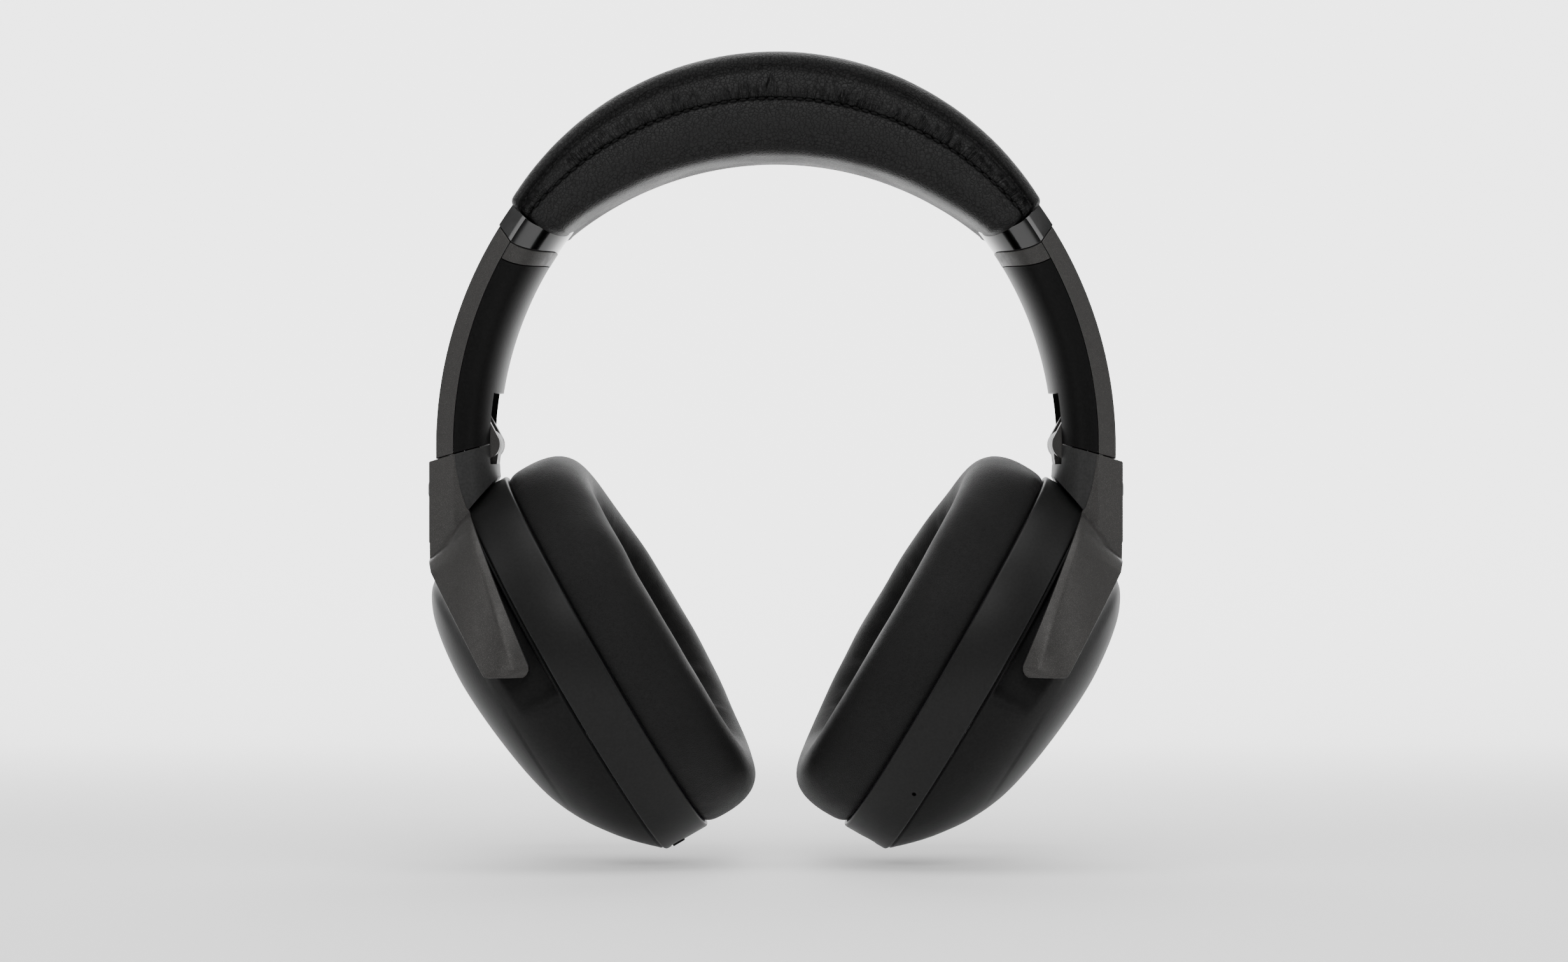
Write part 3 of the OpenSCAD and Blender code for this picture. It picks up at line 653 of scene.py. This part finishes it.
def cushion_swell(a, g, v, seed):
    """How far the leather swells at a place, and the slow part of it."""
    x, y = math.cos(a), math.sin(a)
    slow = ripple(3 * x, 3 * y, seed + v * 0.06)
    top = smooth((v - RING_V) / 18)
    low = smooth((RING_V + 5 - v) / 5)
    inner = smooth((-g - 13) / 5)
    pull = ripple(26 * x, 26 * y, seed + 4)
    return 0.3 * slow * top + 0.18 * pull * low + 0.45 * inner * ripple(9 * x, 9 * y, seed + v * 0.1), slow


def make_cushion(right):
    """The padded ring: a closed roll of fine leather round the ear hole, gathered at its seam."""
    side = "r" if right else "l"
    section = [(g, RING_V + height) for g, height in CUSHION_SECTION]
    fine = smooth_profile(refine(section, 3), 3)
    rings = []
    for a in directions(CUSHION_AROUND):
        ring = []
        for g, v in fine:
            swell, slow = cushion_swell(a, g, v, CUSHION_SEEDS[side_word(right)])
            r = outline_r(a, g) + swell * (1 if g > -9 else -1)
            top = smooth((v - RING_V) / 18)
            ends = abs(math.cos(a)) ** 3
            slant = 0.045 * r * math.sin(a) * (1 - 0.3 * ends)
            ring.append(cup_polar(r, a, v + top * (0.25 * slow - 1.0 * ends + slant - 0.9)))
        rings.append(ring)
    piece = loft("ear_cushion_" + side, rings, right, caps=False, sharp=180, closed_path=True)
    piece.data.materials.append(MATERIALS["cushion_leather"])
    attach(piece, "cup_right" if right else "cup_left")
    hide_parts("cushion_" + side)


SCRIM_AROUND, SCRIM_STEPS = 96, 14
SCRIM_SAG = 1.6


def make_scrim(right):
    """Mesh cloth over the driver, sagging a little and gathered at its rim."""
    side = "r" if right else "l"
    points = []
    for k in range(SCRIM_STEPS + 1):
        t = k / SCRIM_STEPS
        for a in directions(SCRIM_AROUND):
            r = outline_r(a, -18.0) * t
            dome = SCRIM_SAG * (1 - t ** 2) + 0.12 * ripple(r * 0.3 * math.cos(a), r * 0.3 * math.sin(a), 2)
            points.append(cup_polar(r, a, RING_V + 0.7 + dome))
    faces = grid_faces(SCRIM_STEPS + 1, SCRIM_AROUND)
    piece = build("ear_mesh_" + side, points, faces, right, sharp=180)
    piece.data.materials.append(MATERIALS["scrim"])
    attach(piece, "cup_right" if right else "cup_left")
    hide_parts("ear_scrim_" + side)


# ---------- moulded shells ----------

GAP = 0.15
EDGE_ROUND = 0.22
EDGE_ANGLE = 35


def soften(piece, width):
    """A fine rounded edge that catches the light; no edge for a width of 0."""
    if not width:
        return piece
    mod = piece.modifiers.new("edge_round", "BEVEL")
    mod.width = width * MM
    mod.segments = 2
    mod.limit_method = "ANGLE"
    mod.angle_limit = math.radians(EDGE_ANGLE)
    mod.harden_normals = True
    return piece


def prism(name, low, high, right, round_to):
    """A closed body between two matching outlines of points."""
    n = len(low)
    faces = [tuple(range(n)), tuple(range(2 * n - 1, n - 1, -1))]
    faces += [(i, (i + 1) % n, n + (i + 1) % n, n + i) for i in range(n)]
    return soften(build(name, low + high, faces, right), round_to)


def slab(name, outer, inner, right=False, keep=None, round_to=EDGE_ROUND, sharp=40):
    """A wall between two grids of points, closed at its border.

    keep(row, column) says which cells exist.
    """
    rows, cols = len(outer), len(outer[0])
    count = rows * cols
    points = [p for row in outer for p in row] + [p for row in inner for p in row]
    cells = {(k, i) for k in range(rows - 1) for i in range(cols - 1)
             if keep is None or keep(k, i)}
    faces = []
    for k, i in sorted(cells):
        a, d = k * cols + i, (k + 1) * cols + i
        b, c = a + 1, d + 1
        faces.append((a, b, c, d))
        faces.append((d + count, c + count, b + count, a + count))
        sides = (((k - 1, i), a, b), ((k, i + 1), b, c), ((k + 1, i), c, d), ((k, i - 1), d, a))
        for neighbour, p, q in sides:
            if neighbour not in cells:
                faces.append((p, q, q + count, p + count))
    return soften(build(name, points, faces, right, sharp), round_to)


def extrude(name, outline, y0, y1, right=False, round_to=EDGE_ROUND):
    """A flat (x, z) outline carried from y0 to y1."""
    low, high = ([(x, y, z) for x, z in outline] for y in (y0, y1))
    return prism(name, low, high, right, round_to)


def arc_outline(x, z, r, start, end, steps):
    """Points along an arc, its angles in degrees."""
    turns = [math.radians(mix(start, end, i / steps)) for i in range(steps + 1)]
    return [(x + r * math.cos(a), z + r * math.sin(a)) for a in turns]


def join(name, pieces):
    """Several meshes become one piece."""
    first = pieces[0]
    with bpy.context.temp_override(active_object=first, selected_editable_objects=pieces, object=first):
        bpy.ops.object.join()
    first.name = first.data.name = name
    return first


def place(piece, body, slot, right, *nodes):
    """The piece takes a slot's finish, rides on its side's body and stands for that side's CAD nodes."""
    piece.data.materials.append(MATERIALS[slot])
    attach(piece, body + ("_right" if right else "_left"))
    if nodes:
        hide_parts(*(n + ("_r" if right else "_l") for n in nodes))


# ---------- ear cup shells ----------

DOME_AROUND = 240
# Where the shell's silhouette starts and ends along u, for each depth below the ring
DOME_TOP = [(0, 34.9), (14.4, 44), (14.9, 46.5), (18.2, 50.2), (20.4, 54.4), (21.7, 59.2), (22.7, 67),
            (22.9, 73)]
DOME_END = [(0, 135.4), (0.7, 134.8), (6.8, 128.8), (10.9, 123.7), (14, 119.1), (17.7, 111.4),
            (19.6, 104.8), (21.7, 92.5), (22.7, 82), (22.9, 77)]
DOME_POWER = 2.3
RECESS_U = 86.0
RECESS_RUN = 4.5
DOME_RIM = [0.0, 0.12, 0.28, 0.42, 0.55, 0.7, 0.85, 1.0, 1.15, 1.3, 1.5, 1.8, 2.2]
DOME_RINGS = 62
DOME_HOLE = -6.5


def dome_point(a, d):
    """(u, y) of the outer shell in direction a (radians), d below the ring.

    The section is the full oval at the ring and shrinks to a round crown. Under the forks the wall
    steps in by RECESS, from the cup's top to RECESS_U.
    """
    u0, u1 = curve(d, DOME_TOP), curve(d, DOME_END)
    h = max(1.0, HALF_Y * max(1e-4, 1 - (d / (DOME_DEPTH + 0.2)) ** DOME_POWER) ** (1 / DOME_POWER))
    r = outline_r(a, 0)
    u = (u0 + u1) / 2 + r * math.cos(a) / outline_r(0, 0) * (u1 - u0) / 2
    w = r * math.sin(a) / HALF_Y * h
    rho, phi = math.hypot(u - CUP_U, w), math.atan2(w, u - CUP_U)
    limit = outline_r(phi, -RECESS)
    lip = 1 - smooth((u - RECESS_U + (abs(w) - 34) * 0.12) / RECESS_RUN)
    under_rim = smooth((d - 0.45) / 0.9)
    if rho > limit:
        rho -= lip * under_rim * (rho - limit)
    rho -= 0.45 * (1 - smooth(d / 0.55))
    return CUP_U + rho * math.cos(phi), rho * math.sin(phi)


def make_dome(right):
    """The cup's outer shell, closed by a flat annulus behind the ring."""
    last = DOME_RIM[-1]
    depths = DOME_RIM + [last + (DOME_DEPTH - last) * math.sin(math.pi / 2 * i / DOME_RINGS)
                         for i in range(1, DOME_RINGS + 1)]
    rings = [[cup_polar(outline_r(a, DOME_HOLE), a, DOME_V) for a in directions(DOME_AROUND)]]
    for d in depths:
        rings.append([cup(*dome_point(a, d), DOME_V - d - 0.06) for a in directions(DOME_AROUND)])
    piece = loft("cup_shell_" + side_word(right), rings, right, sharp=60)
    place(piece, "cup", "shell_plastic", right, "cup_shell")


WALL_STEP = 0.01
HOLE_IN, HOLE_OUT = -4, 3
RING_WALL = -2.2


def on_ring(angle, v, out, across, along_v):
    """A point out from the ring's wall, across it and along v, at an angle from the cup's low end."""
    def wall(a):
        r = outline_r(a, 0)
        return Vector((CUP_U + r * math.cos(a), r * math.sin(a)))
    a = math.radians(angle)
    base = wall(a)
    tangent = (wall(a + WALL_STEP) - base).normalized()
    normal = Vector((tangent.y, -tangent.x))
    p = base + normal * out + tangent * across
    return cup(p.x, p.y, v + along_v)


def ring_plug(angle, v, outline, right):
    """A cutter through the ring's wall, from its (across, along v) outline."""
    low, high = ([on_ring(angle, v, out, s, t) for s, t in outline] for out in (HOLE_IN, HOLE_OUT))
    return prism("hole", low, high, right, 0)


def box_outline(w, h, r):
    return round_corners([(-w / 2, -h / 2), (w / 2, -h / 2), (w / 2, h / 2), (-w / 2, h / 2)], r)


def circle_outline(r, steps=40):
    return [(r * math.cos(a), r * math.sin(a)) for a in directions(steps)]


# Openings in the ring: angle from the cup's low end, distance below the cushion, outline
RING_HOLES = {
    "right": [
        (0, 7.4, box_outline(9.8, 3.6, 1.7)),
        (40, 7.4, circle_outline(3.3)),
        (-42, 9.5, circle_outline(0.55, 20)),
        (68, 6.2, circle_outline(2.8)),
        (56, 6.2, circle_outline(2.8)),
    ],
    "left": [
        (0, 8.6, box_outline(12, 4.2, 0.9)),
        (64, 6.2, circle_outline(2.8)),
    ],
}


def make_ring(right):
    """The band between cushion and shell, with the side's openings."""
    edge = [(RING_WALL, 0.05), (-0.3, 0.05), (0.05, 0.15), (0.25, 0.35), (0.35, 0.7)]
    section = [(g, RING_V - inset) for g, inset in edge]
    section += [(g, DOME_V + inset) for g, inset in reversed(edge)]
    rings = [[cup_polar(outline_r(a, g), a, v) for g, v in section] for a in directions(DOME_AROUND)]
    side = side_word(right)
    piece = loft("cup_ring_" + side, rings, right, caps=False, sharp=35, closed_path=True)
    cut(piece, [ring_plug(angle, RING_V - drop, outline, right)
                for angle, drop, outline in RING_HOLES[side]])
    place(piece, "cup", "ring_plastic", right, "cup_ring")


# ---------- arms and collars ----------

FLANK_TOP_R = 102.5
ARM_STEPS = 90
BELLY_STEPS = 44
WALL = 2.2
BAND_TURN = 2.604
BELLY_GAP = 0.12
LUG_R = 3.9
LUG_Y = (5.7, 9.5)
COVER_WALL = 1.0
BACK_R, BACK_HALF_Y, BACK_WALL = 101.9, 13.9, 1.5
FOLD_LIMITS = (-12, 12)
COLLAR_WALL = 1.6
COLLAR_STEPS = 26


def seam_top(r, y):
    """Angle at which the curved seam under the collar crosses a line of the arm."""
    s = SEAM_ROUND - math.sqrt(SEAM_ROUND ** 2 - y * y)
    return ARM_TOP - math.degrees(math.asin(s / r))


def seam_low(r, gap=0.0):
    """Angle at which the slanted fold seam crosses a line of the arm."""
    def above(angle):
        x, _, z = arm_point(r, angle, 0)
        return z - (SEAM_Z + (x - SEAM_X) * SEAM_SLOPE) - gap
    return solve(above, *FOLD_LIMITS)


def belly_path(inset=0.0):
    """The round inner side of the arm's section as (radius, depth), from front to back."""
    out = []
    for i in range(BELLY_STEPS + 1):
        a = math.radians(mix(-90, 90, i / BELLY_STEPS))
        out.append((ARM_FLANK_R - (ARM_FLANK_R - ARM_INNER_R - inset) * math.cos(a),
                    (ARM_HALF_Y - inset) * math.sin(a)))
    return out


def flank_path(side):
    """The slanted flank of the section from the cover's edge to the belly, on one side."""
    return [(mix(FLANK_TOP_R, ARM_FLANK_R + 0.12, i / 8), side * mix(FLANK_TOP_Y, FLANK_LOW_Y, i / 8))
            for i in range(9)]


def arm_grid(path, top, low, steps=ARM_STEPS):
    """Points of a section path carried down the arm, between end angles that depend on the place."""
    return [[arm_point(r, mix(top(r, y), low(r, y), k / steps), y) for r, y in path]
            for k in range(steps + 1)]


def arm_slab(name, paths, top, low, right, steps=ARM_STEPS, round_to=EDGE_ROUND):
    """A wall between an outer and an inner section path, carried down the arm."""
    outer, inner = (arm_grid(path, top, low, steps) for path in paths)
    return slab(name, outer, inner, right, round_to=round_to)


def arm_end(r, _):
    """The arm stops just above the fold seam."""
    return seam_low(r, GAP)


def band_end(r, y):
    """Lower edge of the painted band under the collar."""
    return seam_top(r, y) - BAND_TURN


def belly_top(r, y):
    return band_end(r, y) - BELLY_GAP


def arm_lug(s, right):
    """One of the two ears that hold the fold pin, front (-1) or back (1)."""
    outline = [(FOLD_X - 8, FOLD_Z + 10.5), (FOLD_X - 2.5, FOLD_Z + 10.5), (FOLD_X - 0.2, FOLD_Z + 8.6)]
    outline += arc_outline(FOLD_X, FOLD_Z, LUG_R, 20, -150, 24) + [(FOLD_X - 8, FOLD_Z + 1.5)]
    y0, y1 = sorted(s * y for y in LUG_Y)
    return extrude("lug", outline, y0, y1, right)


def make_arm_flanks(right):
    """The painted frame: both flanks, the wall behind the cover, the band at the top and the lugs."""
    pieces = []
    for s in (-1, 1):
        paths = flank_path(s), [(r, y - s * WALL) for r, y in flank_path(s)]
        pieces.append(arm_slab("flank", paths, seam_top, arm_end, right))
    back = [(BACK_R, mix(-BACK_HALF_Y, BACK_HALF_Y, i / 20)) for i in range(21)]
    pieces.append(arm_slab("back", (back, [(r - BACK_WALL, y) for r, y in back]), seam_top, arm_end, right))
    pieces.append(arm_slab("band", (belly_path(), belly_path(WALL)), seam_top, band_end, right, 8))
    pieces += [arm_lug(s, right) for s in (-1, 1)]
    place(join("arm_flanks_" + side_word(right), pieces), "arm", "gunmetal_paint", right, "arm_frame")


def make_arm_belly(right):
    """The dark round lining, notched round the fold hinge."""
    paths = belly_path(0.06), belly_path(WALL)
    liner = arm_slab("arm_belly_" + side_word(right), paths, belly_top, arm_end, right)
    corners = [(-74.8, -58.4), (-60, -58.4), (-60, -80), (-77, -80), (-77, -64)]
    cut(liner, [extrude("notch", round_corners(corners, 1.6), -9.9, 9.9, right, 0)])
    place(liner, "arm", "soft_touch", right, "arm_liner")


def make_arm_cover(right):
    """The gloss strip down the arm's back."""
    shares = [i / 12 for i in range(-12, 13)]
    path = [(ARM_OUTER_R - 0.35 * abs(t) ** 6, t * (COVER_Y + 0.1)) for t in shares]
    paths = path, [(r - COVER_WALL, y) for r, y in path]
    cover = arm_slab("arm_cover_strip_" + side_word(right), paths, seam_top, arm_end, right, round_to=0.15)
    place(cover, "arm", "gloss_black", right, "arm_cover")


def collar_top(r, _):
    """Angle at which the pad's round end crosses a line of the arm."""
    def outside(angle):
        x, _, z = arm_point(r, angle, 0)
        return math.hypot(x - FLEX_X, z - FLEX_Z) - PAD_END_R
    return solve(outside, 30, 41.5)


def collar_end(r, y):
    return seam_top(r, y) + math.degrees(GAP * 1.4 / r)


def collar_path(inset):
    """The arm's whole section as a closed (radius, depth) path."""
    edge = [(mix(ARM_FLANK_R, ARM_OUTER_R - inset, i / 8), mix(ARM_HALF_Y, COVER_Y, i / 8) - inset)
            for i in range(1, 9)]
    path = [(r, -y) for r, y in edge[::-1]] + belly_path(0.1 + inset) + edge
    half = COVER_Y - inset
    top = [(ARM_OUTER_R - inset, mix(half, -half, i / 16)) for i in range(1, 16)]
    return path + top + [path[0]]


def make_collar(right):
    """The dark chrome sleeve between the pad and the arm."""
    paths = collar_path(0.0), collar_path(COLLAR_WALL)
    piece = arm_slab("collar_" + side_word(right), paths, collar_top, collar_end, right, COLLAR_STEPS, 0.3)
    place(piece, "collar", "dark_chrome", right, "collar")


# ---------- forks ----------

# Matched places down the fork: outer edge, inner edge and the number of steps to the next row
FORK_ROWS = [
    ((-85.75, -75.55), (-79.2, -73.75), 8), ((-85.75, -79.0), (-78.9, -77.1), 8),
    ((-85.75, -84.5), (-77.9, -82.3), 8), ((-85.75, -90.5), (-76.4, -86.9), 6),
    ((-85.75, -94.0), (-75.7, -87.7), 6), ((-85.75, -97.2), (-74.6, -90.3), 8),
    ((-85.7, -100.3), (-73.4, -93.1), 5), ((-84.95, -102.9), (-72.2, -95.8), 26),
    ((-71.4, -125.9), (-60.4, -123.2), 5), ((-70.55, -127.25), (-59.62, -125.0), 3),
    ((-70.2, -127.65), (-59.6, -126.2), 2), ((-69.8, -127.8), (-60.1, -127.2), 2),
    ((-69.0, -127.85), (-60.9, -127.82), 0),
]
FORK_COLUMNS = 22
FORK_BACK_X = -85.75
NECK_RUN = 6.5

# The web closes the neck's back between the prongs and ends along the cup
WEB_COLUMNS = 16
WEB_LOW_Z = -97.2
WEB_IN_X = -84.2
WEB_END_R = 31.7

# The prongs: slanted plates that leave the neck and follow the cup's side
PRONG_TOP_Z, PRONG_DROP = -88.5, 37.5
PRONG_CHAMFER = (1.3, 3.5)
PRONG_CHAMFER_DEPTH = 1.25
PRONG_CROWN = 3.2
PLATE_TOP_Z, PLATE_DROP = -99.0, 28.8
PLATE_TOP_Y, PLATE_LOW_Y = 12.4, 42.0
CUP_TOP_U = 34.3
SHOULDER_RISE = 2.4


def fork_rows():
    """Outer and inner edge points down the fork, and the row where the web ends."""
    rows, web_row = [], None
    for (outer, inner, steps), (next_outer, next_inner, _) in zip(FORK_ROWS, FORK_ROWS[1:]):
        for j in range(steps):
            t = j / steps
            rows.append((mix_points(outer, next_outer, t), mix_points(inner, next_inner, t)))
        if web_row is None and next_outer[1] <= WEB_LOW_Z:
            web_row = len(rows)
    rows.append(FORK_ROWS[-1][:2])
    return rows, web_row


def prong_plate(outer, inner):
    """The plate's depth at the inner and outer edge, and how far down the prong the row is."""
    u, _ = cup_uv(*inner)
    by_cup = outline_y(u, FORK_PROUD) if u > CUP_TOP_U else 0.0
    spread = mix(PLATE_TOP_Y, PLATE_LOW_Y, clamp((PLATE_TOP_Z - outer[1]) / PLATE_DROP) ** 0.8)
    return by_cup, spread, clamp((PRONG_TOP_Z - inner[1]) / PRONG_DROP)


def fork_depth(x, share, edge, plate_row):
    """How far forward the fork's skin stands: the arm's flank above, the prong's plate below.

    share runs from 0 at the inner edge to 1 at the outer one, and edge is that distance in mm.
    """
    neck = mix(FLANK_TOP_Y, FLANK_LOW_Y, clamp((x - FORK_BACK_X) / NECK_RUN))
    inner, outer, down = plate_row
    plate = mix(inner, outer, share) + PRONG_CROWN * share * (1 - share)
    plate += SHOULDER_RISE * (1 - down) * smooth((plate - neck + 0.6) / 1.6)
    depth = smooth_max(neck, plate, 0.5) if inner else neck
    if down > 0:
        width = mix(*PRONG_CHAMFER, down)
        depth -= PRONG_CHAMFER_DEPTH * clamp((width - edge) / width) * smooth(down * 8)
    return depth


def cup_end_z(x, y, radius):
    """Height, at x, of a round cut over the cup's top end, y off the middle."""
    u = CUP_U - END_OFF - math.sqrt(radius ** 2 - y * y)
    return (x * CUP_COS - u) / CUP_SIN


def prong_row(outer, inner, inward, in_web):
    """One row of points across the front prong."""
    span = math.dist(outer, inner)
    plate = prong_plate(outer, inner)
    row = []
    for c in range(FORK_COLUMNS + 1):
        t = c / FORK_COLUMNS
        x, z = mix_points(inner, outer, t)
        y = fork_depth(x, t, t * span, plate)
        if inward:
            y -= mix(WALL, FORK_WALL, smooth(plate[2] * 6))
            x = max(x, WEB_IN_X) if in_web else x
        row.append((x, -y, z))
    return row


def web_row_points(outer, share, inward, above_end):
    """One row of points across the back between the prongs, a share of the way down the web."""
    x = WEB_IN_X if inward else outer[0] if above_end else FORK_BACK_X
    row = []
    for c in range(1, WEB_COLUMNS):
        y = mix(-FLANK_TOP_Y, FLANK_TOP_Y, c / WEB_COLUMNS)
        row.append((x, y, mix(FORK_ROWS[0][0][1], cup_end_z(outer[0], y, WEB_END_R), share)))
    return row


def fork_wall(rows, web_row, inward):
    """The outer or inner skin, row by row: front prong, web, back prong."""
    grid = []
    for k, (outer, inner) in enumerate(rows):
        prong = prong_row(outer, inner, inward, k <= web_row)
        web = web_row_points(outer, min(1.0, k / web_row), inward, k < web_row)
        grid.append(prong + web + [(x, -y, z) for x, y, z in prong[::-1]])
    return grid


def make_fork(right):
    """The painted fork, with the knuckle that takes the fold pin."""
    rows, web_row = fork_rows()

    def keep(k, i):
        return k < web_row or not FORK_COLUMNS <= i < FORK_COLUMNS + WEB_COLUMNS
    body = slab("fork", fork_wall(rows, web_row, False), fork_wall(rows, web_row, True), right, keep,
                round_to=0.2, sharp=32)
    outline = [(FOLD_X - 8.5, FOLD_Z - 8.6), (FOLD_X - 8.5, FOLD_Z - 5.6), (FOLD_X - 3.2, FOLD_Z - 4.6)]
    outline += arc_outline(FOLD_X, FOLD_Z, LUG_R, 215, -35, 34) + [(FOLD_X + 2.4, FOLD_Z - 8.6)]
    knuckle = extrude("knuckle", outline, -5.4, 5.4, right)
    place(join("fork_" + side_word(right), [body, knuckle]), "fork", "gunmetal_paint", right, "fork")


FORK_BELLY_STEPS = 24
V_X, V_Z, V_SLOPE = -68.7, -78.5, 1.2535


def fork_belly_top(r, _):
    return seam_low(r, -GAP)


def v_edge(r, _):
    """Angle at which the slanted V over the cup crosses a line of the fork."""
    def below(angle):
        x, _, z = arm_point(r, angle, 0)
        return z - (V_Z + (x - V_X) * V_SLOPE)
    return solve(below, -14, 2)


def make_fork_belly(right):
    """The round dark shell under the fold seam, cut to a V over the cup."""
    paths = belly_path(0.05), belly_path(1.8)
    piece = arm_slab("fork_belly_" + side_word(right), paths, fork_belly_top, v_edge, right, FORK_BELLY_STEPS)
    corners = [(-76.6, -66), (-60, -66), (-60, -76.2), (-74.0, -76.2), (-76.6, -74)]
    cut(piece, [extrude("notch", round_corners(corners, 1.2), -9.8, 9.8, right, 0)])
    place(piece, "fork", "belly_grey", right, "fork_liner")


TRIM_ROWS, TRIM_HALF_COLUMNS = 60, 12
TRIM_TOP_Z, TRIM_BEND_Z, TRIM_LOW_Z = -75.7, -93.0, -99.4
TRIM_X, TRIM_IN_X, TRIM_SEAT_X = -86.2, -85.3, -85.8
TRIM_END_R = 31.9
TRIM_PAD = 0.3
TRIM_PAD_Z = (-80.6, -84.4)


def trim_point(z, t):
    """A point of the trim's face: t goes from -1 at one edge to 1 at the other.

    Below the bend the rows turn into the round end over the cup.
    """
    y = t * (COVER_Y + 0.1)
    pad = TRIM_PAD * smooth((TRIM_PAD_Z[0] - z) / 0.8) * smooth((z - TRIM_PAD_Z[1]) / 0.8)
    x = TRIM_X - pad * (1 - abs(t) ** 8) + 0.3 * abs(t) ** 6 + 0.5 * smooth((-97.8 - z) / 1.6)
    if z <= TRIM_BEND_Z:
        low = min(TRIM_BEND_Z - 0.1, cup_end_z(TRIM_SEAT_X, y, TRIM_END_R))
        z = mix(TRIM_BEND_Z, low, (TRIM_BEND_Z - z) / (TRIM_BEND_Z - TRIM_LOW_Z))
    return (x, y, z)


def make_fork_trim(right):
    """The gloss strip down the fork's back, with its small raised pad."""
    shares = [i / TRIM_HALF_COLUMNS for i in range(-TRIM_HALF_COLUMNS, TRIM_HALF_COLUMNS + 1)]
    outer = [[trim_point(mix(TRIM_TOP_Z, TRIM_LOW_Z, k / TRIM_ROWS), t) for t in shares]
             for k in range(TRIM_ROWS + 1)]
    inner = [[(TRIM_IN_X, y, z) for _, y, z in row] for row in outer]
    piece = slab("fork_trim_" + side_word(right), outer, inner, right, round_to=0.12)
    place(piece, "fork", "gloss_black", right, "fork_trim")


# ---------- CAD pieces shown as they are ----------

def paint_nodes():
    """Every CAD node gets the finish of its slot, with smooth shading."""
    slots = {row["node"]: row["material_slot"] for row in frame["record"]["subparts"]}
    for name, node in frame["nodes"].items():
        node.data.materials.clear()
        node.data.materials.append(MATERIALS[slots[name]])
        for polygon in node.data.polygons:
            polygon.use_smooth = True


# ---------- stage, lights and camera ----------

FLOOR_Z = -0.176
BACK_Y, BACK_TOP_Z, BACK_BEND = 0.9, 2.5, 0.45
FLOOR_FRONT_Y, FLOOR_HALF = -2.5, 3.0
BEND_STEPS = 16
WORLD_STRENGTH = 0.2


def floor_paint():
    """Pale paint with painted light: it glows, brighter towards the backdrop and less far off to the sides.
    """
    paint = Paint("floor_paint", 0.8, 0.0, grey(0.88))
    x, y, _ = paint.add("SeparateXYZ", paint.place).outputs
    # painted light: the glow stands in for studio light on the floor and also lights the object from below
    glow = paint.step(y, 0.05, 0.8, 0.25, 2.6)
    falloff = paint.step(paint.maths("ABSOLUTE", x), 0.85, 0.42, 0.1)
    paint.shade(Emission_Color=(1, 1, 1, 1), Emission_Strength=paint.maths("MULTIPLY", glow, falloff))
    return paint.material


def make_world():
    world = bpy.data.worlds.new("world")
    bpy.context.scene.world = world
    world.use_nodes = True
    background = world.node_tree.nodes["Background"]
    background.inputs["Color"].default_value = (1, 1, 1, 1)
    background.inputs["Strength"].default_value = WORLD_STRENGTH


def make_stage():
    """A pale floor that runs up into a backdrop."""
    bend_y, bend_z = BACK_Y - BACK_BEND, FLOOR_Z + BACK_BEND
    profile = [(FLOOR_FRONT_Y, FLOOR_Z), (bend_y, FLOOR_Z)]
    for i in range(1, BEND_STEPS + 1):
        a = math.pi / 2 * i / BEND_STEPS
        profile.append((bend_y + BACK_BEND * math.sin(a), bend_z - BACK_BEND * math.cos(a)))
    profile.append((BACK_Y, BACK_TOP_Z))
    points = [(x, y, z) for y, z in profile for x in (-FLOOR_HALF, FLOOR_HALF)]
    mesh = bpy.data.meshes.new("floor")
    mesh.from_pydata(points, [], grid_faces(len(profile), 2, closed_ring=False))
    for polygon in mesh.polygons:
        polygon.use_smooth = True
    mesh.materials.append(floor_paint())
    floor = bpy.data.objects.new("floor", mesh)
    bpy.context.scene.collection.objects.link(floor)


def add_light(name, spot, target, size, power):
    """A softbox at a spot, turned to its target."""
    data = bpy.data.lights.new(name, "AREA")
    data.shape = "RECTANGLE"
    data.size, data.size_y = size
    data.energy = power
    lamp = bpy.data.objects.new(name, data)
    lamp.location = spot
    lamp.rotation_mode = "QUATERNION"
    lamp.rotation_quaternion = (Vector(target) - Vector(spot)).to_track_quat("-Z", "Y")
    bpy.context.scene.collection.objects.link(lamp)


def make_lights():
    """Two side softboxes, a wide one above and a front fill."""
    middle = (0, 0, -0.07)
    for name, x in (("softbox_left", -0.95), ("softbox_right", 0.95)):
        add_light(name, (x, -0.35, 0.35), middle, (0.3, 0.9), 2.6)
    add_light("softbox_top", (0, -0.3, 0.95), middle, (1.1, 0.6), 9)
    add_light("softbox_front", (0.0, -1.2, 0.75), (0, 0, -0.03), (0.8, 0.4), 7)


SENSOR_WIDTH = 36
LENS = 91.4
CAMERA_SPOT = (0.002, -1.0, -0.0804)


def make_camera():
    """Straight on from the front."""
    data = bpy.data.cameras.new("camera")
    data.sensor_width = SENSOR_WIDTH
    data.lens = LENS
    camera = bpy.data.objects.new("camera", data)
    camera.location = CAMERA_SPOT
    camera.rotation_euler = (math.pi / 2, 0, 0)
    bpy.context.scene.collection.objects.link(camera)
    bpy.context.scene.camera = camera


paint_nodes()
make_pad()
make_pad_stitches()
for right in (False, True):
    make_collar(right)
    make_arm_flanks(right)
    make_arm_belly(right)
    make_arm_cover(right)
    make_fork(right)
    make_fork_belly(right)
    make_fork_trim(right)
    make_dome(right)
    make_ring(right)
    make_cushion(right)
    make_scrim(right)
make_world()
make_stage()
make_lights()
make_camera()
